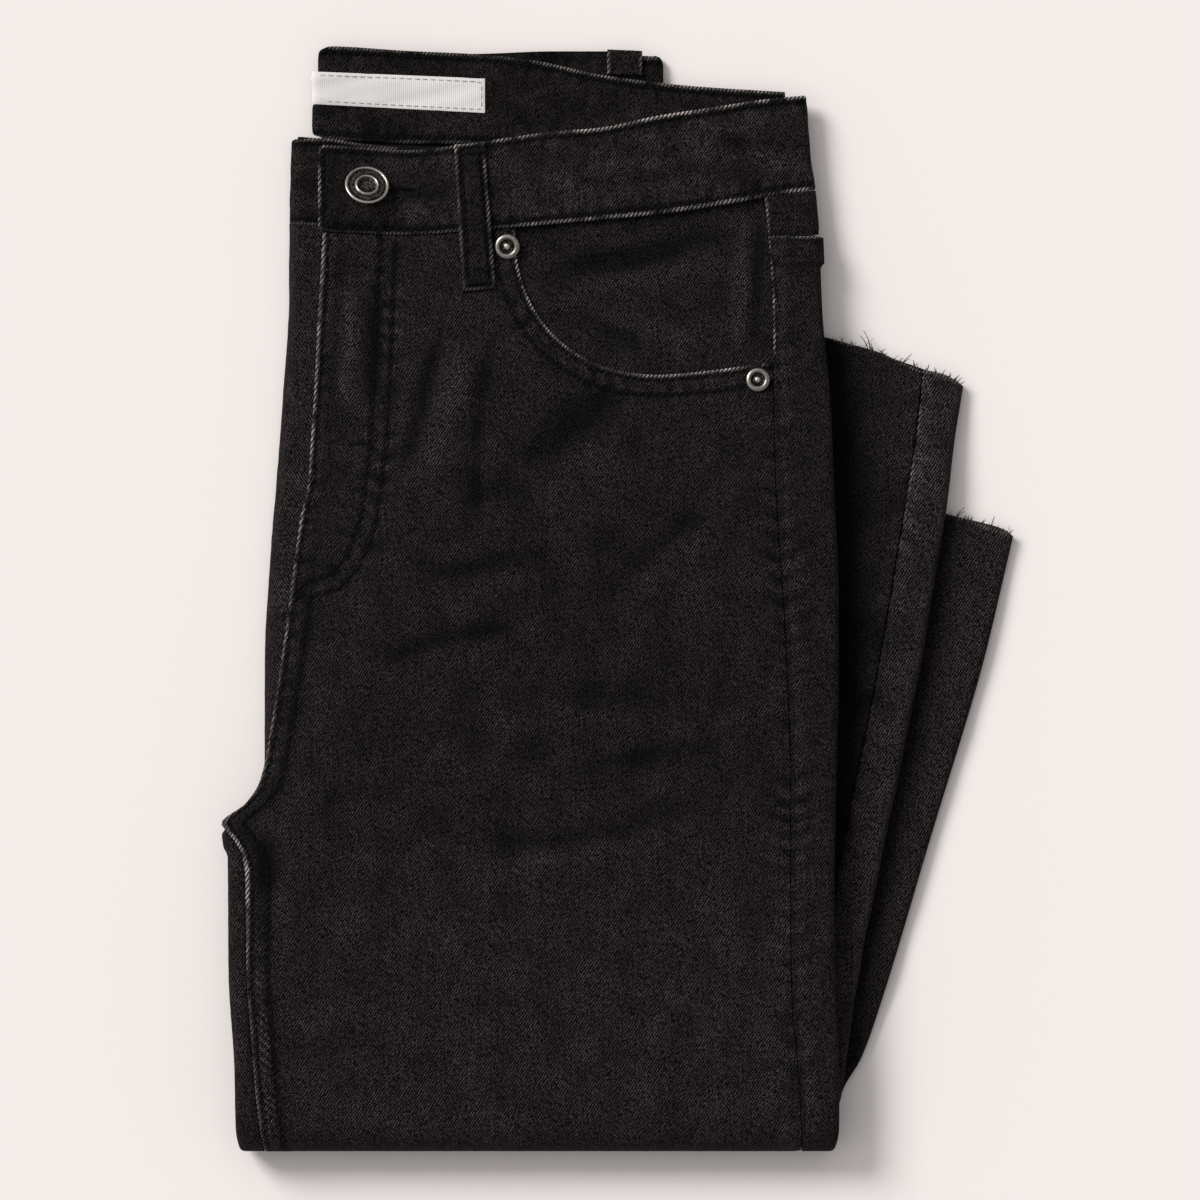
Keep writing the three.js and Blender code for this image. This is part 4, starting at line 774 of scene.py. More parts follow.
upper = np.concatenate([np.linspace(YOKE_TOP, YOKE_TOP - 14, 16), np.arange(127, -209, -1.6)])
left_t, right_t = leg_rows(upper, [*np.arange(-209, 24.9, 1.55), 25], LEFT_HEM, 14)
raised = np.zeros(len(left_t))
raised[:len(upper)] = 0.8 * smooth((YOKE_TOP - upper + 0.4) / 1.0) * smooth((upper - YOKE_TOP + YOKE_WIDTH + 1) / 1.2)
x, t, w = side_sections(left_t, right_t, raised, 30)
on_top = smooth(1 - t / 6) * (w < 1)
under = (t > FOLD_LENGTH) * (w > 3)
t = wavy_hem(x, t, right_t, LEFT_HEM_RISE, 12, w > 3)
y = y_of(t)
hem_line = near(x, y, np.stack([x[-1], y[-1]], -1)[::6])[0]
seam_d, from_yoke = x - left_leg_seam(t), YOKE_TOP - y
relief = on_top * (puckers(x, y, SIDE_SEAM, 8.5, 8.0, 0.36, 21) + 0.05 * swell(x, y, 51, 12)
                   + puckers(x, y, [(59, YOKE_TOP - 5), (88, YOKE_TOP - 5)], 7, 4, 0.12, 53)
                   + rounded(seam_d, 1.4) + 0.25 * bell(seam_d - 3, 3))
relief = relief + under * (0.16 * swell(x, y, 55, 34) + 0.10 * swell(x, y, 56, 14, 2.5, np.radians(72))
                           + rounded(np.where(t > FOLD_LENGTH, hem_line, 9), 0.8))
relief = relief + rounded(from_yoke * (t < 0) + 9 * (t >= 0), 1.0)
rim = np.where(w < 0.6, np.minimum(seam_d + 0.3, np.where(t < 0, np.abs(from_yoke) + 0.2, 9)),
               np.where(under > 0, hem_line + 0.35, 9))
worn = np.where(w < 0.6, np.where(from_yoke < 2.5, 0.55, 0.04 + 0.72 * smooth((y - 80) / 16)), 0.35)
# Colour factor of the left back: painted shade in the hollows and painted light on the ridges of its puckers, dark seam
# and yoke rows, and on the lower leg a painted shadow of the right leg over it, darkest at that leg's edge and fading
# out within 16 mm
tone_and_painted_shading = ((0.92 + 0.14 * smooth((-60 - y) / 90) * (t < 0) + 0.05 * swell(x, y, 57, 30) + 0.55 * under)
        * np.clip(1 + 2.6 * relief * on_top, 0.6, 2.0) * (1 - 0.6 * on_top * bell(seam_d - 1.0, 1.2))
        * (1 - 0.5 * on_top * (bell(from_yoke - 2.4, 0.7) + bell(from_yoke - YOKE_WIDTH, 0.9)))
        * np.where(under > 0, 0.3 + 0.75 * smooth((x - right_leg_edge(low(y))) / 16), 1))
# The weave's cross coordinate is the girth, held still along the far side of the lower run
girth = x[:, :1] + np.cumsum(np.hypot(np.diff(x, axis=1, prepend=x[:, :1]), np.diff(w, axis=1, prepend=w[:, :1])), 1)
below = right_t > FOLD_LENGTH
far_side = x[:, -1] + girth[:, -1]
girth = girth - (below * (far_side - far_side[np.argmax(below)]))[:, None]
left_back = shell("left_back_denim", x, t, w, LEG / 2, relief, (girth, grain_down(t)), rim, worn, tone_and_painted_shading, denim)
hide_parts("left_back")

# Yoke stitching: two rows along the felled seam that joins yoke and back.
YOKE_ROWS = [[(60.5, YOKE_TOP - d), (82, YOKE_TOP - d)] for d in (1.7, 7.9)]
yoke_threads = capsules("left_back_stitching", [stitched(YOKE_ROWS, lambda x, y: fold(x, up(y), -0.92), 61)])


# Left yoke: the small panel between the waistband and the felled yoke seam, seen at the side.
share = np.linspace(0, 1, 16)[:, None]
YOKE_MIDDLE = up(153.0)
level = np.full(16, YOKE_MIDDLE)
x, _, w = side_sections(level, level, np.zeros(16), 4)
foot = YOKE_TOP + 0.4
y = (front_band_bottom(x) - 0.4) * (1 - share) + foot * share
shift = left_leg_right(up(y[:, -16:-15])) - left_leg_right(YOKE_MIDDLE)
x = x + shift
t = up(y)
relief = (0.06 * swell(x, y, 63, 9) + puckers(x, y, [(59, 143), (90, 143)], 6, 4, 0.12, 65)
          - 0.3 * bell(y - foot, 1.5))
# Its colour factor adds painted shade and light to its relief: dark in the hollows, light on the puckers
left_yoke = shell("left_yoke_denim", x, t, w, LEG / 2, relief, (x + 2 * w, -t), x - left_leg_seam(t) + 0.2, 0.5,
                  0.95 * np.clip(1 + 2.0 * relief, 0.3, 2), denim)
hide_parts("left_yoke")


# Inseam side of the left back: the strip that shows left of the felled inseam, below the crotch.
left_t, right_t = leg_rows([*np.linspace(-90.5, -97, 9), *np.arange(-98.5, -209, -1.6)],
                           [*np.arange(-209, -160, 7), *np.arange(-160, 25, 22), 25], LEFT_HEM, 14)
tuck = smooth((FOLD_Y - left_t + 96) / 5)
start = front_edge(left_t) - 0.4 + 5 * tuck
edge = np.minimum(left_outline(left_t), start - LEG / 2 - 0.2) + 1.6 * tuck ** 2
rows = []
for s, e, k in zip(start, edge, tuck):
    r = (LEG - 1.5 * k) / 2
    rows.append(joined((np.linspace(s, e + r, 9)[:-1], 1.5 * k), turned(e, -1, 1.5 * k, LEG, 12),
                       (np.linspace(e + r, e + 12, 5)[1:], LEG)))
x, w = np.array(rows).transpose(1, 0, 2)
t = row_t(left_t, right_t, x, left_outline, left_leg_right)
y = FOLD_Y - np.minimum(t, 0)
relief = (t < 4) * (w < LEG * 0.7) * (puckers(x, y, edge_line(front_edge, 0, -92, -209), 8, 6, 0.22, 67)
                                      - 0.4 * bell(front_edge(t) - x, 1.6))
# Colour factor: lighter, with painted shade and light on its puckers and painted shade where it dips at the front
# panel's edge
inseam = shell("left_back_inseam_denim", x, t, w, LEG / 2, relief, (x - 2 * w, grain_down(t)), 9.0, 0.0,
               1.25 + 0.1 * swell(x, y, 69, 20) + 1.2 * relief, denim)
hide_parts("left_back_inseam")


# Right front: shows as a strip left of the fly, turns under at the left edge, lies face down under
# the stack, and comes out on top of the right lower leg.
right_leg_left = track(OUTLINE_ROWS[:8] + [
    (up(-80), -145.6), (up(-92), -151.0), (up(-118), -152.0), (up(-188), -150.0), (0, -149.4),
    (FOLD_LENGTH, -149.4), (FOLD_LENGTH + 10, -146.8), (low(148), -54.0)])
right_leg_right, right_leg_seam = track(RIGHT_LEG[:, [0, 1]]), track(RIGHT_LEG[:, [0, 2]])
RIGHT_BAND = np.array([
    (-131, 184.0, 150.4), (-118, 184.3, 149.7), (-104, 182.4, 149.0), (-86, 180.6, 148.8),
    (-50, 191.0, 157.6), (20, 212.6, 176.8), (35, 215.4, 179.6)])
right_band_top, right_band_bottom = track(RIGHT_BAND[:, [0, 1]]), track(RIGHT_BAND[:, [0, 2]])
SIDE_SEAM_RIGHT = np.stack([right_leg_seam(low(np.linspace(-200, 85, 80))), np.linspace(-200, 85, 80)], -1)
upper = np.concatenate([np.arange(128, -100, -2.0), np.arange(-104, -209, -9)])
lower = [*np.arange(-208, 84.9, 1.6), 85]
left_t, right_t = leg_rows(upper, lower, RIGHT_HEM, 12)
block = np.linspace(0, 1, 14)[:-1]


def block_t(x, s):
    """t of the first rows, which follow the waistband above and settle level at y = 128."""
    return up((right_band_bottom(x) - 0.4) * (1 - s) + 128 * s)


left_all = np.concatenate([block_t(-131.0, block), left_t])
right_all = np.concatenate([block_t(35.0, block), right_t])
rows = []
for lt, rt in zip(left_all, right_all):
    closing = smooth((lt - up(-66)) / 20)
    e, finish_x = right_leg_left(lt), right_leg_seam(rt) - 0.2
    top = 1.6 + (LAYER - 1.6) * closing
    begin = max(front_edge(lt) + 8, e + 6) * (1 - closing) + (e + 12) * closing
    r = (STACK - top) / 2
    bottom = np.concatenate([np.linspace(e + r, finish_x - 46, 9)[1:-1], np.linspace(finish_x - 46, finish_x - 1.2, 29),
                             [finish_x - 0.6, finish_x]])
    rows.append(joined((np.linspace(begin, e + r, 14)[:-1], top), turned(e, -1, top, STACK, 12), (bottom, STACK)))
x, w = np.array(rows).transpose(1, 0, 2)
t = row_t(left_all, right_all, x, right_leg_left, right_leg_right)
t[:len(block)] = block_t(x[:len(block)], block[:, None])
RIGHT_HEM_RISE = ([60, 90, 97, 103.5, 110, 116, 122, 124, 131, 136, 139],
                  [0, 2.0, 2.4, 2.7, 2.1, 1.3, 0.5, 1.6, 2.4, 1.5, 0])
t = wavy_hem(x, t, right_all, RIGHT_HEM_RISE, 10, w > 9)
y = y_of(t)
on_leg = (t > FOLD_LENGTH) * (w > 9)
hem_line = near(x, y, np.stack([x[-1], y[-1]], -1)[::3])[0]
on_strip = (t < 0) * (w < 6)


def right_leg_relief(x, y):
    """Relief of the right lower leg's top: soft waves along it and puckers by its side seam."""
    seam_d = near(x, y, SIDE_SEAM_RIGHT)[0]
    return (0.18 * swell(x, y, 71, 30) + 0.12 * swell(x, y, 72, 14, 3, np.radians(75))
            + puckers(x, y, SIDE_SEAM_RIGHT, 9, 6, 0.26, 73) - 0.3 * bell(seam_d, 1.1))


relief = on_leg * (right_leg_relief(x, y) + rounded(hem_line, 0.8))
relief = relief + on_strip * (0.12 * swell(x, y, 75, 18) + 0.08 * swell(x, y, 76, 7))
rim = np.where(on_leg > 0, hem_line + 0.4, 9.0)
# Colour factor: on the right lower leg a painted shadow of the stack above, near black at the stack's edge and fading
# out within 27 mm, a dark side seam, and painted shade and light on its relief; the strip by the fly lighter, with
# painted shade and light on its relief
tone_and_painted_shading = np.where(on_leg > 0, (0.10 + 1.10 * smooth((x - left_leg_right(up(y)) - 1) / 27)) * (1 + 1.5 * relief)
                * (1 - 0.6 * bell(right_leg_seam(t) - x, 0.9)), 1.30 * (1 + relief))
right_front = shell("right_front_denim", x, t, w, 7.8, relief, (x - 2 * w, -grain_down(t)), rim, 0.35, tone_and_painted_shading, denim)
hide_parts("right_front")


# Right back: the strip right of the side seam on the right lower leg, turned under at its edge.
left_t, right_t = leg_rows(np.arange(128, -209, -6.0), lower, RIGHT_HEM, 12)
left_all = np.concatenate([block_t(-131.0, block[::2]), left_t])
right_all = np.concatenate([block_t(35.0, block[::2]), right_t])
wide_from = low(LEFT_HEM[0] + 14)
rows = []
for lt, rt in zip(left_all, right_all):
    s, e = right_leg_seam(rt) + 0.2, right_leg_right(rt)
    end = right_leg_left(lt) + 14 if rt > wide_from else e - 12
    rows.append(joined((np.linspace(s, e - LEG / 2, 13)[:-1], STACK), turned(e, 1, STACK, LAYER, 12),
                       (np.linspace(e - LEG / 2, end, 8)[1:], LAYER)))
x, w = np.array(rows).transpose(1, 0, 2)
t = row_t(left_all, right_all, x, right_leg_left, right_leg_right)
t[:len(block[::2])] = block_t(x[:len(block[::2])], block[::2, None])
t = wavy_hem(x, t, right_all, RIGHT_HEM_RISE, 10)
y = y_of(t)
on_leg = (t > FOLD_LENGTH) * (w > 7.5)
seam_d = x - right_leg_seam(t)
hem_line = near(x, y, np.stack([x[-1], y[-1]], -1)[:26:3])[0]
relief = on_leg * (0.14 * swell(x, y, 71, 30) + puckers(x, y, SIDE_SEAM_RIGHT, 9, 7, 0.42, 73)
                   + 0.35 * bell(seam_d - 3, 2.6) + rounded(seam_d, 1.2) + rounded(hem_line, 0.8))
rim = np.where(on_leg > 0, np.minimum(hem_line + 0.4, seam_d + 0.5), 9.0)
# Colour factor of the strip: lighter, painted shade and light on its relief, and painted shade where it rounds over
# beside the side seam, lower down the leg
tone_and_painted_shading = ((1.0 + 0.6 * on_leg) * (1 + 1.4 * relief * on_leg)
        * (1 - 0.6 * on_leg * bell(seam_d, 5.5) * smooth((40 - y) / 70)))
right_back = shell("right_back_denim", x, t, w, 7.8, relief, (x - 2 * w, -grain_down(t)), rim,
                   0.06 + 0.26 * smooth((y - 10) / 60), tone_and_painted_shading, denim)
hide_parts("right_back")


# Hidden layers: both back panels where the outer layers cover them; only their rims show in
# the gaps of the stack, in the same denim, here without its weave coordinates.
inner_denim = mottled("inner_denim", "ShaderNodeTexNoise", 1800.0, "#060505", "#1d1a1b", 0.92, 0.08, (0.5, 0.0003))
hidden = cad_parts["hidden_layers"]
hidden.data.materials.clear()
hidden.data.materials.append(inner_denim)


# Pocket facing: the denim patch behind the scoop of the front pocket, a little lower than the panel.
x = np.broadcast_to(np.linspace(-46, 66, 92), (60, 92)).copy()
share = np.linspace(0, 1, 60)[:, None]
foot = np.minimum(pocket_edge(x), 140) - 7
y = (front_band_bottom(x) - 0.4) * (1 - share) + foot * share
FACING_CREASES = [
    (4.5, -0.7, [(-36, 127), (-22, 132), (-7, 134), (20, 139), (48, 150)]),
    (4.0, 0.5, [(-30, 118), (-5, 124), (25, 130), (50, 138)]),
    (3.5, 0.7, [(51.5, 158), (51, 140), (50, 119), (48.4, 92)]),
    (3.0, -0.5, [(56.5, 158), (56.5, 140), (56, 119), (54.4, 92)]),
    (4.0, -0.35, [(-24, 118), (-6, 108), (16, 99)]),
    (5.0, 0.35, [(0, 112), (22, 106), (40, 100)]),
]
relief = creases(x, y, FACING_CREASES) + 0.10 * swell(x, y, 81, 20) + 0.05 * swell(x, y, 82, 7)
# Colour factor of the facing: a painted shadow under the waistband's lower edge, a painted highlight on the fold near
# the side seam, and painted shade and light on its creases
tone_and_painted_shading = 0.98 - 0.35 * bell(front_band_bottom(x) - y, 5) + 0.12 * bell(x - 50, 3)
facing = shell("pocket_facing_denim", x, up(y), 1.9, 9, relief, (x, y), 9.0, 0.0,
               tone_and_painted_shading * np.clip(1 + 1.3 * relief, 0.35, 2.2), denim, thickness=1.0)
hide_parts("pocket_facing")


# Waistbands: one straight strip of double denim, folded with the garment. The left front end lies
# on top with its buttonhole, the back band shows its inner face, the right front end lies under.
# Thickness, how far the left end stands over the panels, and where along s the rows lie
BAND, BAND_RAISE = 2.1, 0.9
band_share = np.concatenate([[0, 0.012, 0.03, 0.06], np.linspace(0.1, 0.9, 20), [0.94, 0.97, 0.988, 1]])[:, None]
SLOT_START, SLOT_END = (-96.5, 164.7), (-79.6, 162.4)


def band_relief(x, y, s, seed):
    """Relief of a waistband: rounded edges, a row of stitches pulled in near each, and the wavy
    puckers that its two layers make between them."""
    a, b = s * BAND_WIDTH, (1 - s) * BAND_WIDTH
    groove = -0.16 * (bell(a - 2.2, 0.9) + bell(b - 2.2, 0.9))
    wave = 0.12 * np.sin(2 * np.pi * x / 6.5 + 2.5 * swell(x, x * 0, seed, 30))
    return (rounded(np.minimum(a, b), 1.1) + groove + wave * (bell(a - 3.5, 3) + 1.3 * bell(b - 3.5, 3.5))
            + 0.13 * swell(x, y, seed + 1, 13, 2.6, 0.05) + 0.06 * swell(x, y, seed + 2, 6, 2, 0.2))


BAND_WIDTH, BAND_END, BAND_TURN = 34.0, -119.6, 76.5
band_down, band_rest = band_share * BAND_WIDTH, (1 - band_share) * BAND_WIDTH
x = np.concatenate([BAND_END + np.array([0, 0.25, 0.6, 1.0]), np.linspace(-118.0, BAND_TURN, 150)])
rows = []
for s, d in zip(band_share[:, 0], np.minimum(band_down, band_rest)[:, 0]):
    edge = left_leg_right(up(front_band_top(80.0) * (1 - s) + front_band_bottom(80.0) * s))
    radius = (5.1 + BAND_RAISE) / 2
    flat = BAND_END + (x - BAND_END) * (edge - radius - BAND_END) / (BAND_TURN - BAND_END)
    flat = flat + corner(d, 2.6) * np.exp(-(flat - BAND_END) / 4)
    rows.append(joined((flat[:-1], -BAND_RAISE), turned(edge, 1, -BAND_RAISE, 5.1, 14),
                       (np.linspace(edge - radius, edge - 8, 5)[1:], 5.1)))
x, w = np.array(rows).transpose(1, 0, 2)
y = front_band_top(x) * (1 - band_share) + front_band_bottom(x) * band_share
slot_d = near(x, y, [SLOT_START, SLOT_END])[0]
waves = band_relief(x, y, band_share, 91)
relief = waves + rounded(x - BAND_END, 1.1) - 1.0 * np.exp(-(slot_d / 0.55) ** 4) + 0.3 * bell(slot_d - 1.7, 0.9)
rim = np.minimum(np.minimum(band_down, x - BAND_END), band_rest)
worn = np.where(band_down < 3, 0.30 + 0.65 * smooth((x + 56) / 14), 0.20 + 0.70 * smooth((x + 56) / 30))
worn = np.where(x < -117, 0.6, worn)
# Colour factor of the band: darker towards its left end and at random, painted shade and light on its puckers, grooves
# and edges, a dark line by the lower row of stitches, and painted shade in the buttonhole's slit
tone_and_painted_shading = ((0.66 + 0.34 * smooth((x + 105) / 60) + 0.20 * swell(x, y, 95, 18, 2.5))
        * np.clip(1 + 3.0 * (waves + 0.1), 0.4, 2.2)
        - 0.12 * bell(band_down - 31, 1.6) - 0.75 * bell(slot_d, 0.9))
band_denim = black_denim("band_denim", body="#141011", fleck="#574d4e", tufts=0.40)
waistband = shell("left_front_band_denim", x, up(y), w, 2, relief, (x, y), rim, worn, tone_and_painted_shading, band_denim, 0.5,
                  thickness=BAND - 0.1)
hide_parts("waistband_left_front")


def on_band(x, y):
    """A place on the left front band, a thread's radius above the cloth."""
    s = (front_band_top(x) - y) / (front_band_top(x) - front_band_bottom(x))
    return fold(x, up(y), -BAND_RAISE - band_relief(x, y, s, 91) - 0.12)


band_x = np.linspace(-117.4, 74, 70)
band_lines = [np.stack([band_x, line], -1) for line in (front_band_top(band_x) - 2.2, front_band_bottom(band_x) + 2.2)]
band_lines.append([(-117.4, 179.2), (-117.5, 149.2)])
hole_way = np.array(SLOT_END) - SLOT_START
hole_long = np.hypot(*hole_way)
hole_way = hole_way / hole_long
hole_side = np.array([-hole_way[1], hole_way[0]])
hole_at = np.arange(4.0, hole_long + 0.4, 0.52)[:, None]
parts = [stitched(band_lines, on_band, 97)]
for side in (-1, 1):
    inner, outer = [(SLOT_START + hole_at * hole_way + side * out * hole_side).T for out in (0.55, 2.55)]
    parts.append(between(fold(inner[0], up(inner[1]), -BAND_RAISE - 0.30),
                         fold(outer[0], up(outer[1]), -BAND_RAISE - 0.22)))
parts.append(bartack(SLOT_END, 82, 3.6, 1.8, lambda x, y: fold(x, up(y), -BAND_RAISE - 0.25)))
band_threads = capsules("left_front_band_stitching", parts)

# Back waistband: inner face up on the left half, folded at the centre back, outer face up under it.
INNER_BAND = np.array([
    (-122, 220.4, 184.9), (-117, 221.2, 184.0), (-84, 219.3, 182.2), (-57, 218.0, 181.8), (-33, 215.4, 179.6),
    (-7, 209.8, 174.0), (28, 205.4, 169.6), (64, 203.0, 167.0), (80, 202.0, 166.4)])
OUTER_BAND = np.array([
    (-122, 219.4, 185.6), (-57, 218.2, 182.6), (-26, 219.2, 183.4), (2, 219.2, 183.8), (11, 217.9, 184.2),
    (18, 215.2, 184.4)])
inner_top, inner_bottom = [track(INNER_BAND[:, [0, k]]) for k in (1, 2)]
outer_top, outer_bottom = [track(OUTER_BAND[:, [0, k]]) for k in (1, 2)]
rows = []
for s, d in zip(band_share[:, 0], np.minimum(band_down, band_rest)[:, 0]):
    y_in, y_out = inner_top(80.0) * (1 - s) + inner_bottom(80.0) * s, outer_top(18.0) * (1 - s) + outer_bottom(18.0) * s
    edge = -119.8 - 2.3 * smooth((s - 0.58) / 0.08) + corner(d, 2.2)
    first_x = np.linspace(left_leg_right(up(y_in)) - 8.6, edge + 2.4, 130)
    last_x = np.linspace(edge + 2.4, right_leg_right(up(y_out)) - 12.5, 60)
    rows.append(joined((first_x[:-1], 3.0), turned(edge, -1, 3.0, 7.8, 12), (last_x[1:], 7.8)))
x, w = np.array(rows).transpose(1, 0, 2)
# Side is 0 on the inner face, 1 on the outer one, going over during the turn
side = np.clip((np.arange(x.shape[1]) - 129) / 11, 0, 1)
y = ((inner_top(x) * (1 - band_share) + inner_bottom(x) * band_share) * (1 - side)
     + (outer_top(x) * (1 - band_share) + outer_bottom(x) * band_share) * side)
waves = band_relief(x, y, band_share, 101)
# Colour factor: darker, mottled at random, with painted shade and light on its puckers, grooves and edges
tone_and_painted_shading = (0.64 + 0.12 * swell(x, y, 103, 22, 3)) * np.clip(1 + 3.0 * (waves + 0.1), 0.4, 2.2)
back_band = shell("back_band_denim", x, up(y), w, 5.4, waves * (1 - 0.7 * side), (x, y),
                  np.minimum(band_down, band_rest) + 9 * (side > 0.6), np.where(band_share < 0.5, 0.45, 0.2), tone_and_painted_shading,
                  band_denim, 0.5, thickness=BAND - 0.1)
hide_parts("waistband_back")


def on_back_band(x, y):
    """A place on the back band's inner face, a thread's radius above the cloth."""
    s = (inner_top(x) - y) / (inner_top(x) - inner_bottom(x))
    return fold(x, up(y), 3.0 - band_relief(x, y, s, 101) - 0.12)


back_x = np.linspace(-119, 70, 80)
back_lines = [np.stack([back_x, line], -1) for line in (inner_top(back_x) - 2.2, inner_bottom(back_x) + 2.2)]
back_threads = capsules("back_band_stitching", [stitched(back_lines, on_back_band, 105)])

# Right front waistband: under the stack, round the left edge, and its end on top, left of the button.
rows = []
for s in band_share[:, 0]:
    right_y, left_y = [right_band_top(end) * (1 - s) + right_band_bottom(end) * s for end in (35.0, -131.0)]
    r = 18.6 + (right_leg_right(up(right_y)) - 0.2 - 18.6) * smooth((s - 0.22) / 0.3) - corner(BAND_WIDTH * s, 3.0)
    l = left_outline(up(left_y)) + corner(BAND_WIDTH * s, 1.6)
    side_turn, strip_turn = (STACK - 5.7) / 2, (STACK - 1.7) / 2
    rows.append(joined(
        (np.linspace(r - 8, r - side_turn, 5)[:-1], 5.7), turned(r, 1, 5.7, STACK, 10),
        (np.linspace(r - side_turn, l + strip_turn, 40)[1:-1], STACK), turned(l, -1, STACK, 1.7, 14),
        (np.linspace(l + strip_turn, -88, 34)[1:], 1.7)))
x, w = np.array(rows).transpose(1, 0, 2)
y = right_band_top(x) * (1 - band_share) + (right_band_bottom(x) - 0.7) * band_share
y = y + (1 - band_share) ** 2 * (217.4 - right_band_top(x)) * smooth((x + 2) / 8)
relief = band_relief(x, y, band_share, 111) * (w < 6)
# Its colour factor adds painted shade and light to its relief
right_band = shell("right_front_band_denim", x, up(y), w, 8, relief, (x, y), np.minimum(band_down, band_rest), 0.35,
                   0.95 * np.clip(1 + 1.6 * relief, 0.4, 2), band_denim, 0.5, thickness=1.9)
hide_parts("waistband_right_front")


# Label: off-white woven cotton tape, left bare, sewn into the back waistband along its four sides.
label_x = np.concatenate([[-122.2, -121.9, -121.0], np.linspace(-119.6, -52.9, 72)])
label_w = np.concatenate([[4.4, 3.4, 2.85], np.full(72, 2.6)])
share = np.linspace(0, 1, 18)[:, None]
x, w = np.broadcast_to(label_x, (18, 75)), np.broadcast_to(label_w, (18, 75))
top_y, bottom_y = [np.interp(label_x, [-122, -52.9], ys) for ys in ((211, 208.2), (198, 194.4))]
y = top_y * (1 - share) + bottom_y * share
inside = np.minimum(np.minimum(share * 13.4, (1 - share) * 13.4), np.minimum(-52.9 - x, 30))
relief = (0.22 * swell(x, y, 121, 12, 1.5) * smooth(inside / 3) + rounded(inside, 0.5)
          - 0.12 * bell(inside - 1.3, 0.6))
# Cotton tape: bleached plain weave, soft and matte, with a fine rib across it every 0.8 mm
tape, tree, shader = material("cotton_tape")
weave = add(tree, "ShaderNodeUVMap", uv_map="cloth").outputs["UV"]
rib = add(tree, "ShaderNodeTexWave", {"Vector": weave, "Scale": 0.39, "Distortion": 0.6, "Detail": 2.0},
          bands_direction="X")
soil = add(tree, "ShaderNodeTexNoise", {"Vector": weave, "Scale": 0.9, "Detail": 4.0})
mix = add(tree, "ShaderNodeMath", {0: rib.outputs["Fac"], 1: soil.outputs["Fac"]}, operation="MULTIPLY").outputs[0]
tape_colour = add(tree, "ShaderNodeMix", {"Factor": mix, 6: linear("#d2cecb"), 7: linear("#ebe8e5")}, data_type="RGBA")
tape_bump = add(tree, "ShaderNodeBump", {"Height": mix, "Strength": 0.5, "Distance": 0.0003})
tree.links.new(tape_colour.outputs[2], shader.inputs["Base Color"])
tree.links.new(tape_bump.outputs[0], shader.inputs["Normal"])
shader.inputs["Roughness"].default_value = 0.85
label = shell("label_tape", x, up(y), w, 9, relief, (x, y), 9.0, 0.0, 1.0, tape, thickness=0.55)
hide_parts("label")
# Its stitching: pale grey thread, finer than the topstitching
pale_thread = mottled("pale_sewing_thread", "ShaderNodeTexNoise", 2500.0, "#8f8984", "#bdb7b1", 0.7)
LABEL_ROW = [(-119, 209.6), (-54.3, 206.9), (-54.3, 195.8), (-119, 199.2)]
label_threads = capsules("label_stitching", [stitched([LABEL_ROW], lambda x, y: fold(x, up(y), 2.45), 123)],
                         0.16, pale_thread)


# Belt loops: a strip of denim folded in three, 12 mm wide, its edges worn pale, sewn down at both
# ends by bartacks. The front one lies over the band; of the right back one only the top shows.
# Height along the loop and the depth it lies at, above the cloth
LOOP = np.array([(181.6, -2.6), (180.6, -2.95), (178, -3.0), (172, -3.05), (160, -3.05), (150, -2.95), (146.4, -2.75),
                 (141, -2.2), (132, -2.0), (124.6, -1.95), (122.7, -1.8)])
LOOP_TOP, LOOP_FOOT, BACK_LOOP_TOP, BACK_LOOP_WIDTH = 181.6, 122.7, 219.9, 14
loop_y = np.concatenate([np.linspace(181.6, 179.6, 5), np.linspace(179, 125, 60), np.linspace(124.4, 122.7, 5)])
across = np.concatenate([[0, 0.03, 0.07, 0.12], np.linspace(0.2, 0.8, 8), [0.88, 0.93, 0.97, 1]])
share = (LOOP_TOP - loop_y[:, None]) / 58.9
left_side, right_side = -65.2 + 3.6 * share, -53.0 + 4.6 * share
x = left_side + (right_side - left_side) * across
y = loop_y[:, None] + 1.2 * across
w = np.interp(-loop_y, -LOOP[:, 0], LOOP[:, 1])[:, None] - broad_folds(x, y)
side_d = 12.4 * np.minimum(across, 1 - across)[None, :] + 0 * x
end_d = np.minimum(LOOP_TOP - loop_y, loop_y - LOOP_FOOT)[:, None]
relief = (rounded(np.minimum(side_d, end_d), 0.9) - 0.12 * bell(side_d - 2.6, 0.8)
          - 0.14 * bell(side_d - 6.2, 1.6) + 0.10 * swell(x, y, 131, 7)
          + 0.10 * np.sin(2 * np.pi * y / 6) * bell(side_d - 1.5, 1.5))
loop_denim = black_denim("belt_loop_denim", body="#141011", fleck="#574d4e", tufts=0.45)
worn = np.where(end_d < 3, np.where(y > 150, 0.8, 0.22), 0.20 + 0.25 * (across > 0.5))
# Its colour factor adds painted shade and light to its relief: rounded edges, grooves and waves
front_loop = shell("front_belt_loop_denim", x, up(y), w, 9, relief, (x, y), np.minimum(side_d, end_d), worn,
                   0.85 * np.clip(1 + 1.6 * (relief + 0.1), 0.4, 2), loop_denim, 0.5, thickness=1.6)
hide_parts("belt_loop_left_front")


def on_loop(x, y):
    """A place on the front belt loop, a thread's radius above it."""
    return fold(x, up(y), np.interp(-y, -LOOP[:, 0], LOOP[:, 1]) - broad_folds(x, y) - 0.16)


loop_parts = [stitched([[(-62.4, 179), (-58.9, 125)], [(-55.8, 180), (-51.4, 125.6)]], on_loop, 133),
              bartack((-56.6, 178.6), 5, 9, 2.2, on_loop), bartack((-55.0, 126.4), 5, 9.6, 2.2, on_loop)]
loop_threads = capsules("front_belt_loop_stitching", loop_parts)

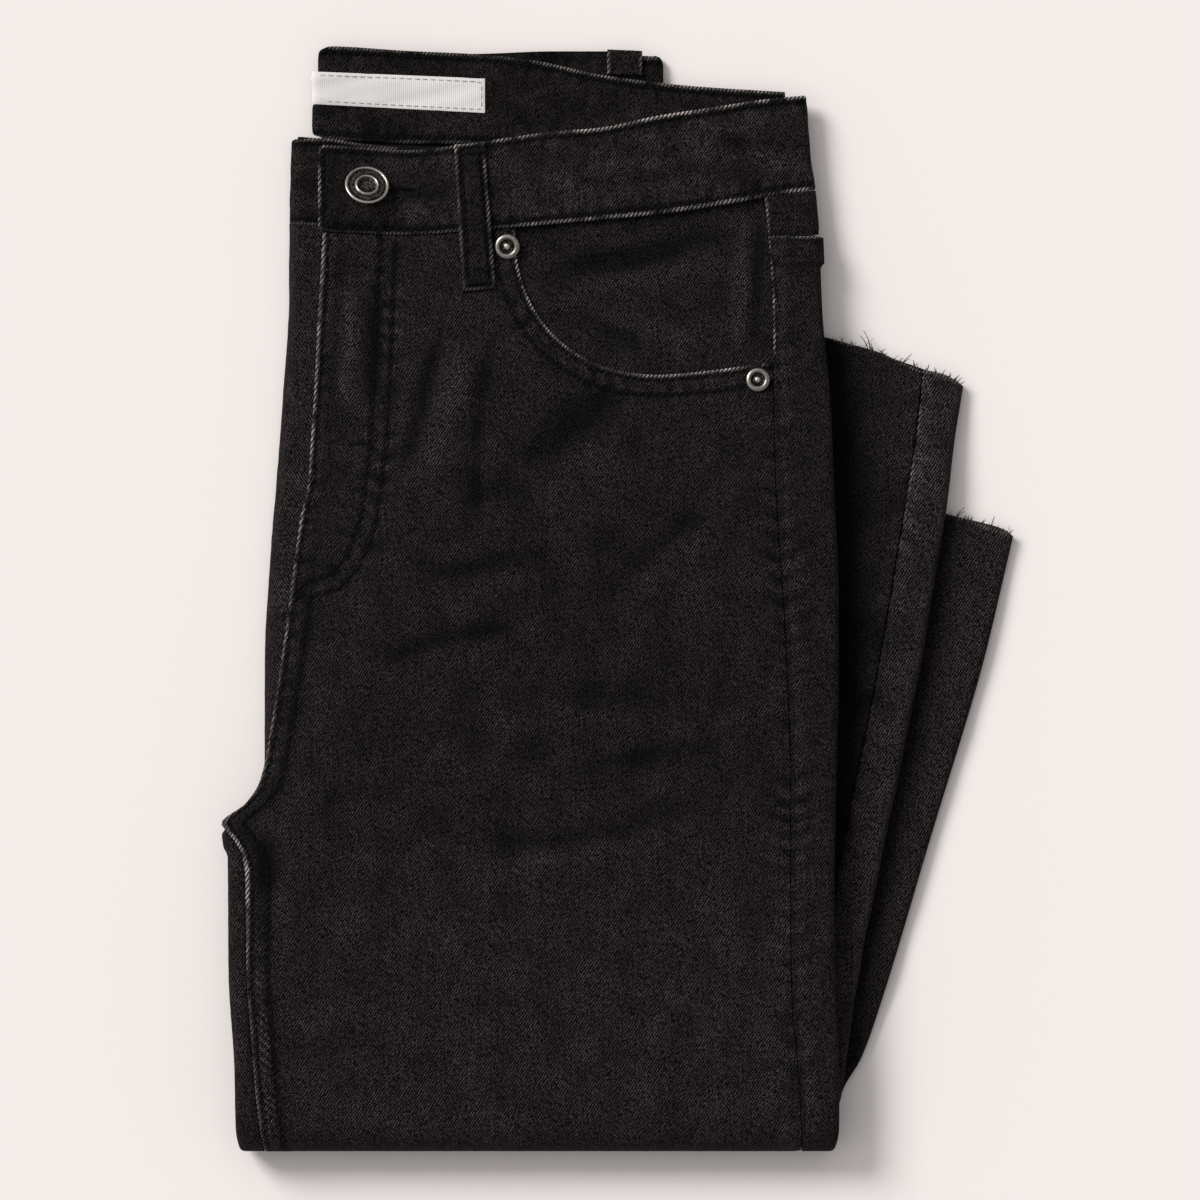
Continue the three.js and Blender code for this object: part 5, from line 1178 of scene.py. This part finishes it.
loop_y = np.array([219.9, 219.6, 219, 217.5, 215, 212, 210.2])[:, None]
x = -3.9 + BACK_LOOP_WIDTH * across[None, :] + 0 * loop_y
y = loop_y - 0.04 * BACK_LOOP_WIDTH * across
side_d = BACK_LOOP_WIDTH * np.minimum(across, 1 - across)[None, :] + 0 * x
relief = rounded(np.minimum(side_d, BACK_LOOP_TOP - loop_y), 0.8) - 0.12 * bell(side_d - 2.6, 0.8)
back_loop = shell("back_belt_loop_denim", x, up(y), 3.8, 9, relief, (x, y), side_d, 0.3, 0.95, loop_denim,
                  thickness=1.4)
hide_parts("belt_loop_right_back")


# Button: a stamped shank button in antique nickel, a domed rim round a flat ring that is left
# plain, a raised inner ring and a hollow centre, standing tilted in its buttonhole.
def turned_metal(name, profile, centre, normal, count, finish):
    """A closed turned solid: a profile of (radius, height, polish) carried round an axis through
    centre along normal. Polish is 1 on rubbed rims and 0 where dark patina stays."""
    profile = np.array(profile, float)
    normal = np.array(normal, float) / np.linalg.norm(normal)
    side = np.cross(normal, [0.0, 1.0, 0.2])
    side /= np.linalg.norm(side)
    over = np.cross(normal, side)
    ring = tube(profile[:, 1:2] * normal, profile[:, :1, None], side[None], over[None], count)
    rows = len(profile)
    points = np.concatenate([ring.reshape(-1, 3), [profile[0, 1] * normal, profile[-1, 1] * normal]]) + centre
    n = np.arange(rows * count).reshape(rows, count)
    nxt = np.roll(n, -1, 1)
    faces = np.stack([n[:-1], nxt[:-1], nxt[1:], n[1:]], -1).reshape(-1, 4).tolist()
    faces += [[rows * count, b, a] for a, b in zip(n[0], nxt[0])]
    faces += [[rows * count + 1, a, b] for a, b in zip(n[-1], nxt[-1])]
    mesh = bpy.data.meshes.new(name)
    mesh.from_pydata(points / 1000, [], faces)
    set_values(mesh, polish=np.concatenate([np.repeat(profile[:, 2], count), profile[[0, -1], 2]]))
    return as_piece(mesh, finish)


# Antique nickel: plated steel, blackened and rubbed back, so its rims are bright and its hollows dark
nickel, tree, shader = material("antique_nickel")
polish = add(tree, "ShaderNodeAttribute", attribute_name="polish").outputs["Fac"]
place = add(tree, "ShaderNodeTexCoord").outputs["Object"]
scuff = add(tree, "ShaderNodeTexNoise", {"Vector": place, "Scale": 1500.0, "Detail": 4.0, "Roughness": 0.7})
scuff = scuff.outputs["Fac"]
rub = add(tree, "ShaderNodeMath", {0: scuff, 1: 0.5}, operation="SUBTRACT").outputs[0]
rub = add(tree, "ShaderNodeMath", {0: rub, 1: 1.3}, operation="MULTIPLY").outputs[0]
rub = add(tree, "ShaderNodeMath", {0: polish, 1: rub}, operation="ADD", use_clamp=True).outputs[0]
metal_colour = add(tree, "ShaderNodeMix", {"Factor": rub, 6: linear("#0d0c0b"), 7: linear("#b4aea5")}, data_type="RGBA")
rough = add(tree, "ShaderNodeMapRange", {"Value": rub, "To Min": 0.48, "To Max": 0.26})
metal_bump = add(tree, "ShaderNodeBump", {"Height": scuff, "Strength": 0.25, "Distance": 0.0001})
tree.links.new(metal_colour.outputs[2], shader.inputs["Base Color"])
tree.links.new(rough.outputs[0], shader.inputs["Roughness"])
tree.links.new(metal_bump.outputs[0], shader.inputs["Normal"])
shader.inputs["Metallic"].default_value = 1.0
button_foot = fold(-100.0, up(164.6), -BAND_RAISE)
tilt = np.radians(33)
button_normal = np.array([0.208 * np.sin(tilt), 0.978 * np.sin(tilt), np.cos(tilt)])
BUTTON_R = 8.9
head_centre = button_foot + [0, 0, BUTTON_R * np.sin(tilt) + 0.3]
# Radius as a share of the whole, height in millimetres, polish
BUTTON_RINGS = [
    (0.6, 0, 0.1), (0.93, 0.45, 0.2), (0.985, 0.8, 0.4), (1, 1.1, 0.6), (0.985, 1.4, 0.9), (0.955, 1.58, 1),
    (0.92, 1.6, 0.9), (0.885, 1.45, 0.5), (0.86, 1.24, 0.05), (0.82, 1.2, 0.0), (0.70, 1.24, 0.14),
    (0.57, 1.2, 0.0), (0.545, 1.3, 0.3), (0.525, 1.6, 0.8), (0.50, 1.78, 1), (0.47, 1.76, 0.9),
    (0.44, 1.5, 0.4), (0.41, 1.1, 0.1), (0.34, 0.8, 0.0), (0.2, 0.72, 0.1)]
button = turned_metal("nickel_button", [
    (0.3, 0, 0.1), *((BUTTON_R * share, height, rubbed) for share, height, rubbed in BUTTON_RINGS), (0.3, 0.7, 0.15)],
    head_centre, button_normal, 72, nickel)
shank = turned_metal("nickel_button_shank", [
    (0.2, 0, 0.1), (1.8, 0, 0.1), (1.85, 0.4, 0.2), (1.8, 5.0, 0.2), (1.4, 5.6, 0.2), (0.2, 5.7, 0.2)],
    button_foot + [0, 0, -0.4], [0, 0, 1], 24, nickel)
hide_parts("button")


# Rivets: small stamped burrs at both ends of the pocket opening, a rounded ring about a dark recess
# with the nail's tip in it, the ring rubbed bright.
RIVET_RINGS = [
    (0.93, 0, 0.2), (0.99, 0.25, 0.5), (1, 0.5, 0.7), (0.96, 0.95, 1), (0.87, 1.35, 0.75), (0.76, 1.52, 0.5),
    (0.66, 1.45, 0.55), (0.58, 1.2, 0.2), (0.52, 0.8, 0.0), (0.46, 0.62, 0), (0.33, 0.6, 0), (0.27, 0.75, 0.2),
    (0.23, 1.15, 0.9), (0.17, 1.35, 1), (0.08, 1.45, 1)]


def rivet(name, node, x, y, radius):
    """A rivet on the left front at x, y, standing square to the cloth there."""
    around = [fold(x + dx, up(y + dy), -front_relief(np.array(x + dx), up(np.array(y + dy))))
              for dx, dy in ((4, 0), (-4, 0), (0, 4), (0, -4))]
    normal = np.cross(around[0] - around[1], around[2] - around[3])
    normal /= np.linalg.norm(normal)
    piece = turned_metal(name, [
        (0.2, 0, 0.1), *((radius * share, height, rubbed) for share, height, rubbed in RIVET_RINGS), (0.1, 1.47, 1)],
        np.mean(around, 0) + normal * 0.15, normal, 48, nickel)
    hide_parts(node)


rivet("waist_rivet", "rivet_waist", -43.9, 140.6, 5.15)
rivet("side_rivet", "rivet_side", 56.2, 87.3, 4.9)


# Raw hems: cut and washed, so loose warp threads stand out of them, black dyed and tangled, with
# a fine fuzz of weft between. Each is rooted under the cloth's edge.
# Loose yarn: cotton, the dye worn off its high points
yarn = mottled("loose_yarn", "ShaderNodeTexNoise", 700.0, "#0c0a0b", "#2b2828", 0.9)


def fringe(name, node, hem, right_x, left_x, w, threads, fuzz, span, rise, seed):
    """Loose threads out of a hem: each a curve of cloth coordinates from its root, leaning and
    bending, with a five-sided section that thins to its tip; the fuzz is many short ones."""
    random = np.random.default_rng(seed)
    slope = (hem[1] - hem[0]) / (right_x - left_x)
    table = [(x0 + random.normal(0, 0.28), size * share, lean * random.uniform(0.5, 1.3), bend, radius)
             for x0, size, lean, bend, radius in threads for share in (1.0, random.uniform(0.4, 0.8))]
    for _ in range(fuzz):
        size = random.gamma(2.0, 0.4)
        table.append((random.uniform(*span), size, random.normal(0, 0.8) * size, random.normal(0, 0.5) * size, 0.15))
    u = np.linspace(0, 1, 9)
    points, faces = [], []
    for number, (x0, length, lean, bend, radius) in enumerate(table):
        x = x0 + lean * u + bend * u * u + 0.25 * length ** 0.5 * np.sin(3 * u + x0) * u
        t = low(hem[0]) + (right_x - x0) * slope + np.interp(x0, *rise) - 0.8 + (length + 0.8) * u
        drop = 0.5 + (w - 1.0 if w < 6 else 2.5) * u * u * min(1, length / 9)
        line = fold(x, t, w - drop if w < 6 else np.maximum(w - drop, 5.5))
        way = np.gradient(line, axis=0)
        way /= np.linalg.norm(way, axis=1, keepdims=True)
        side = np.cross(way, [0, 0, 1.0])
        side /= np.linalg.norm(side, axis=1, keepdims=True)
        points.append(tube(line, radius * (1 - 0.6 * u)[:, None, None], side, np.cross(side, way), 5).reshape(-1, 3))
        n = np.arange(45).reshape(9, 5) + 45 * number
        nxt = np.roll(n, -1, 1)
        faces += np.stack([n[:-1], nxt[:-1], nxt[1:], n[1:]], -1).reshape(-1, 4).tolist()
        faces += [n[0, ::-1].tolist(), n[-1].tolist()]
    mesh = bpy.data.meshes.new(name)
    mesh.from_pydata(np.concatenate(points) / 1000, [], faces)
    piece = as_piece(mesh, yarn)
    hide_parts(node)


# Threads that show one by one: place, length, lean, bend, radius
RIGHT_THREADS = [
    (100.9, 7.6, -2.6, -0.8, 0.28), (102.6, 3.0, -1.0, 0.2, 0.32), (105.4, 1.6, 1.0, 0.8, 0.22),
    (108.8, 2.6, -2.2, -0.8, 0.26), (112.4, 1.4, 1.0, 0.6, 0.22), (114.2, 3.4, 3.6, 1.8, 0.26),
    (119.2, 3.0, -0.3, -0.2, 0.34), (120.8, 2.6, -0.5, 0.1, 0.32), (124.0, 2.4, 0.3, 0.1, 0.36),
    (127.8, 2.0, -0.2, 0.3, 0.32), (130.4, 1.6, 0.6, 0.3, 0.28), (132.6, 1.6, 0.8, 0.4, 0.26),
    (135.2, 1.8, 1.2, 0.5, 0.28), (137.2, 1.4, 1.2, 0.4, 0.26), (90.0, 1.6, 0.6, 0.3, 0.24),
    (94.5, 1.8, -0.8, 0.2, 0.24)]
LEFT_THREADS = [
    (135.2, 3.4, 3.2, 0.6, 0.24), (142.2, 1.4, 0.3, 0.2, 0.2), (145.6, 1.2, 1.9, 0.6, 0.2),
    (149.8, 3.6, 0.8, 0.3, 0.24), (156.6, 1.4, 1.2, 0.3, 0.24)]
fringe("right_hem_threads", "hem_fray_right", RIGHT_HEM, *RIGHT_ENDS, STACK, RIGHT_THREADS, 50, (84, 138.2),
       RIGHT_HEM_RISE, 141)
fringe("left_hem_threads", "hem_fray_left", LEFT_HEM, *LEFT_ENDS, LEG, LEFT_THREADS, 30, (128, 158),
       LEFT_HEM_RISE, 143)
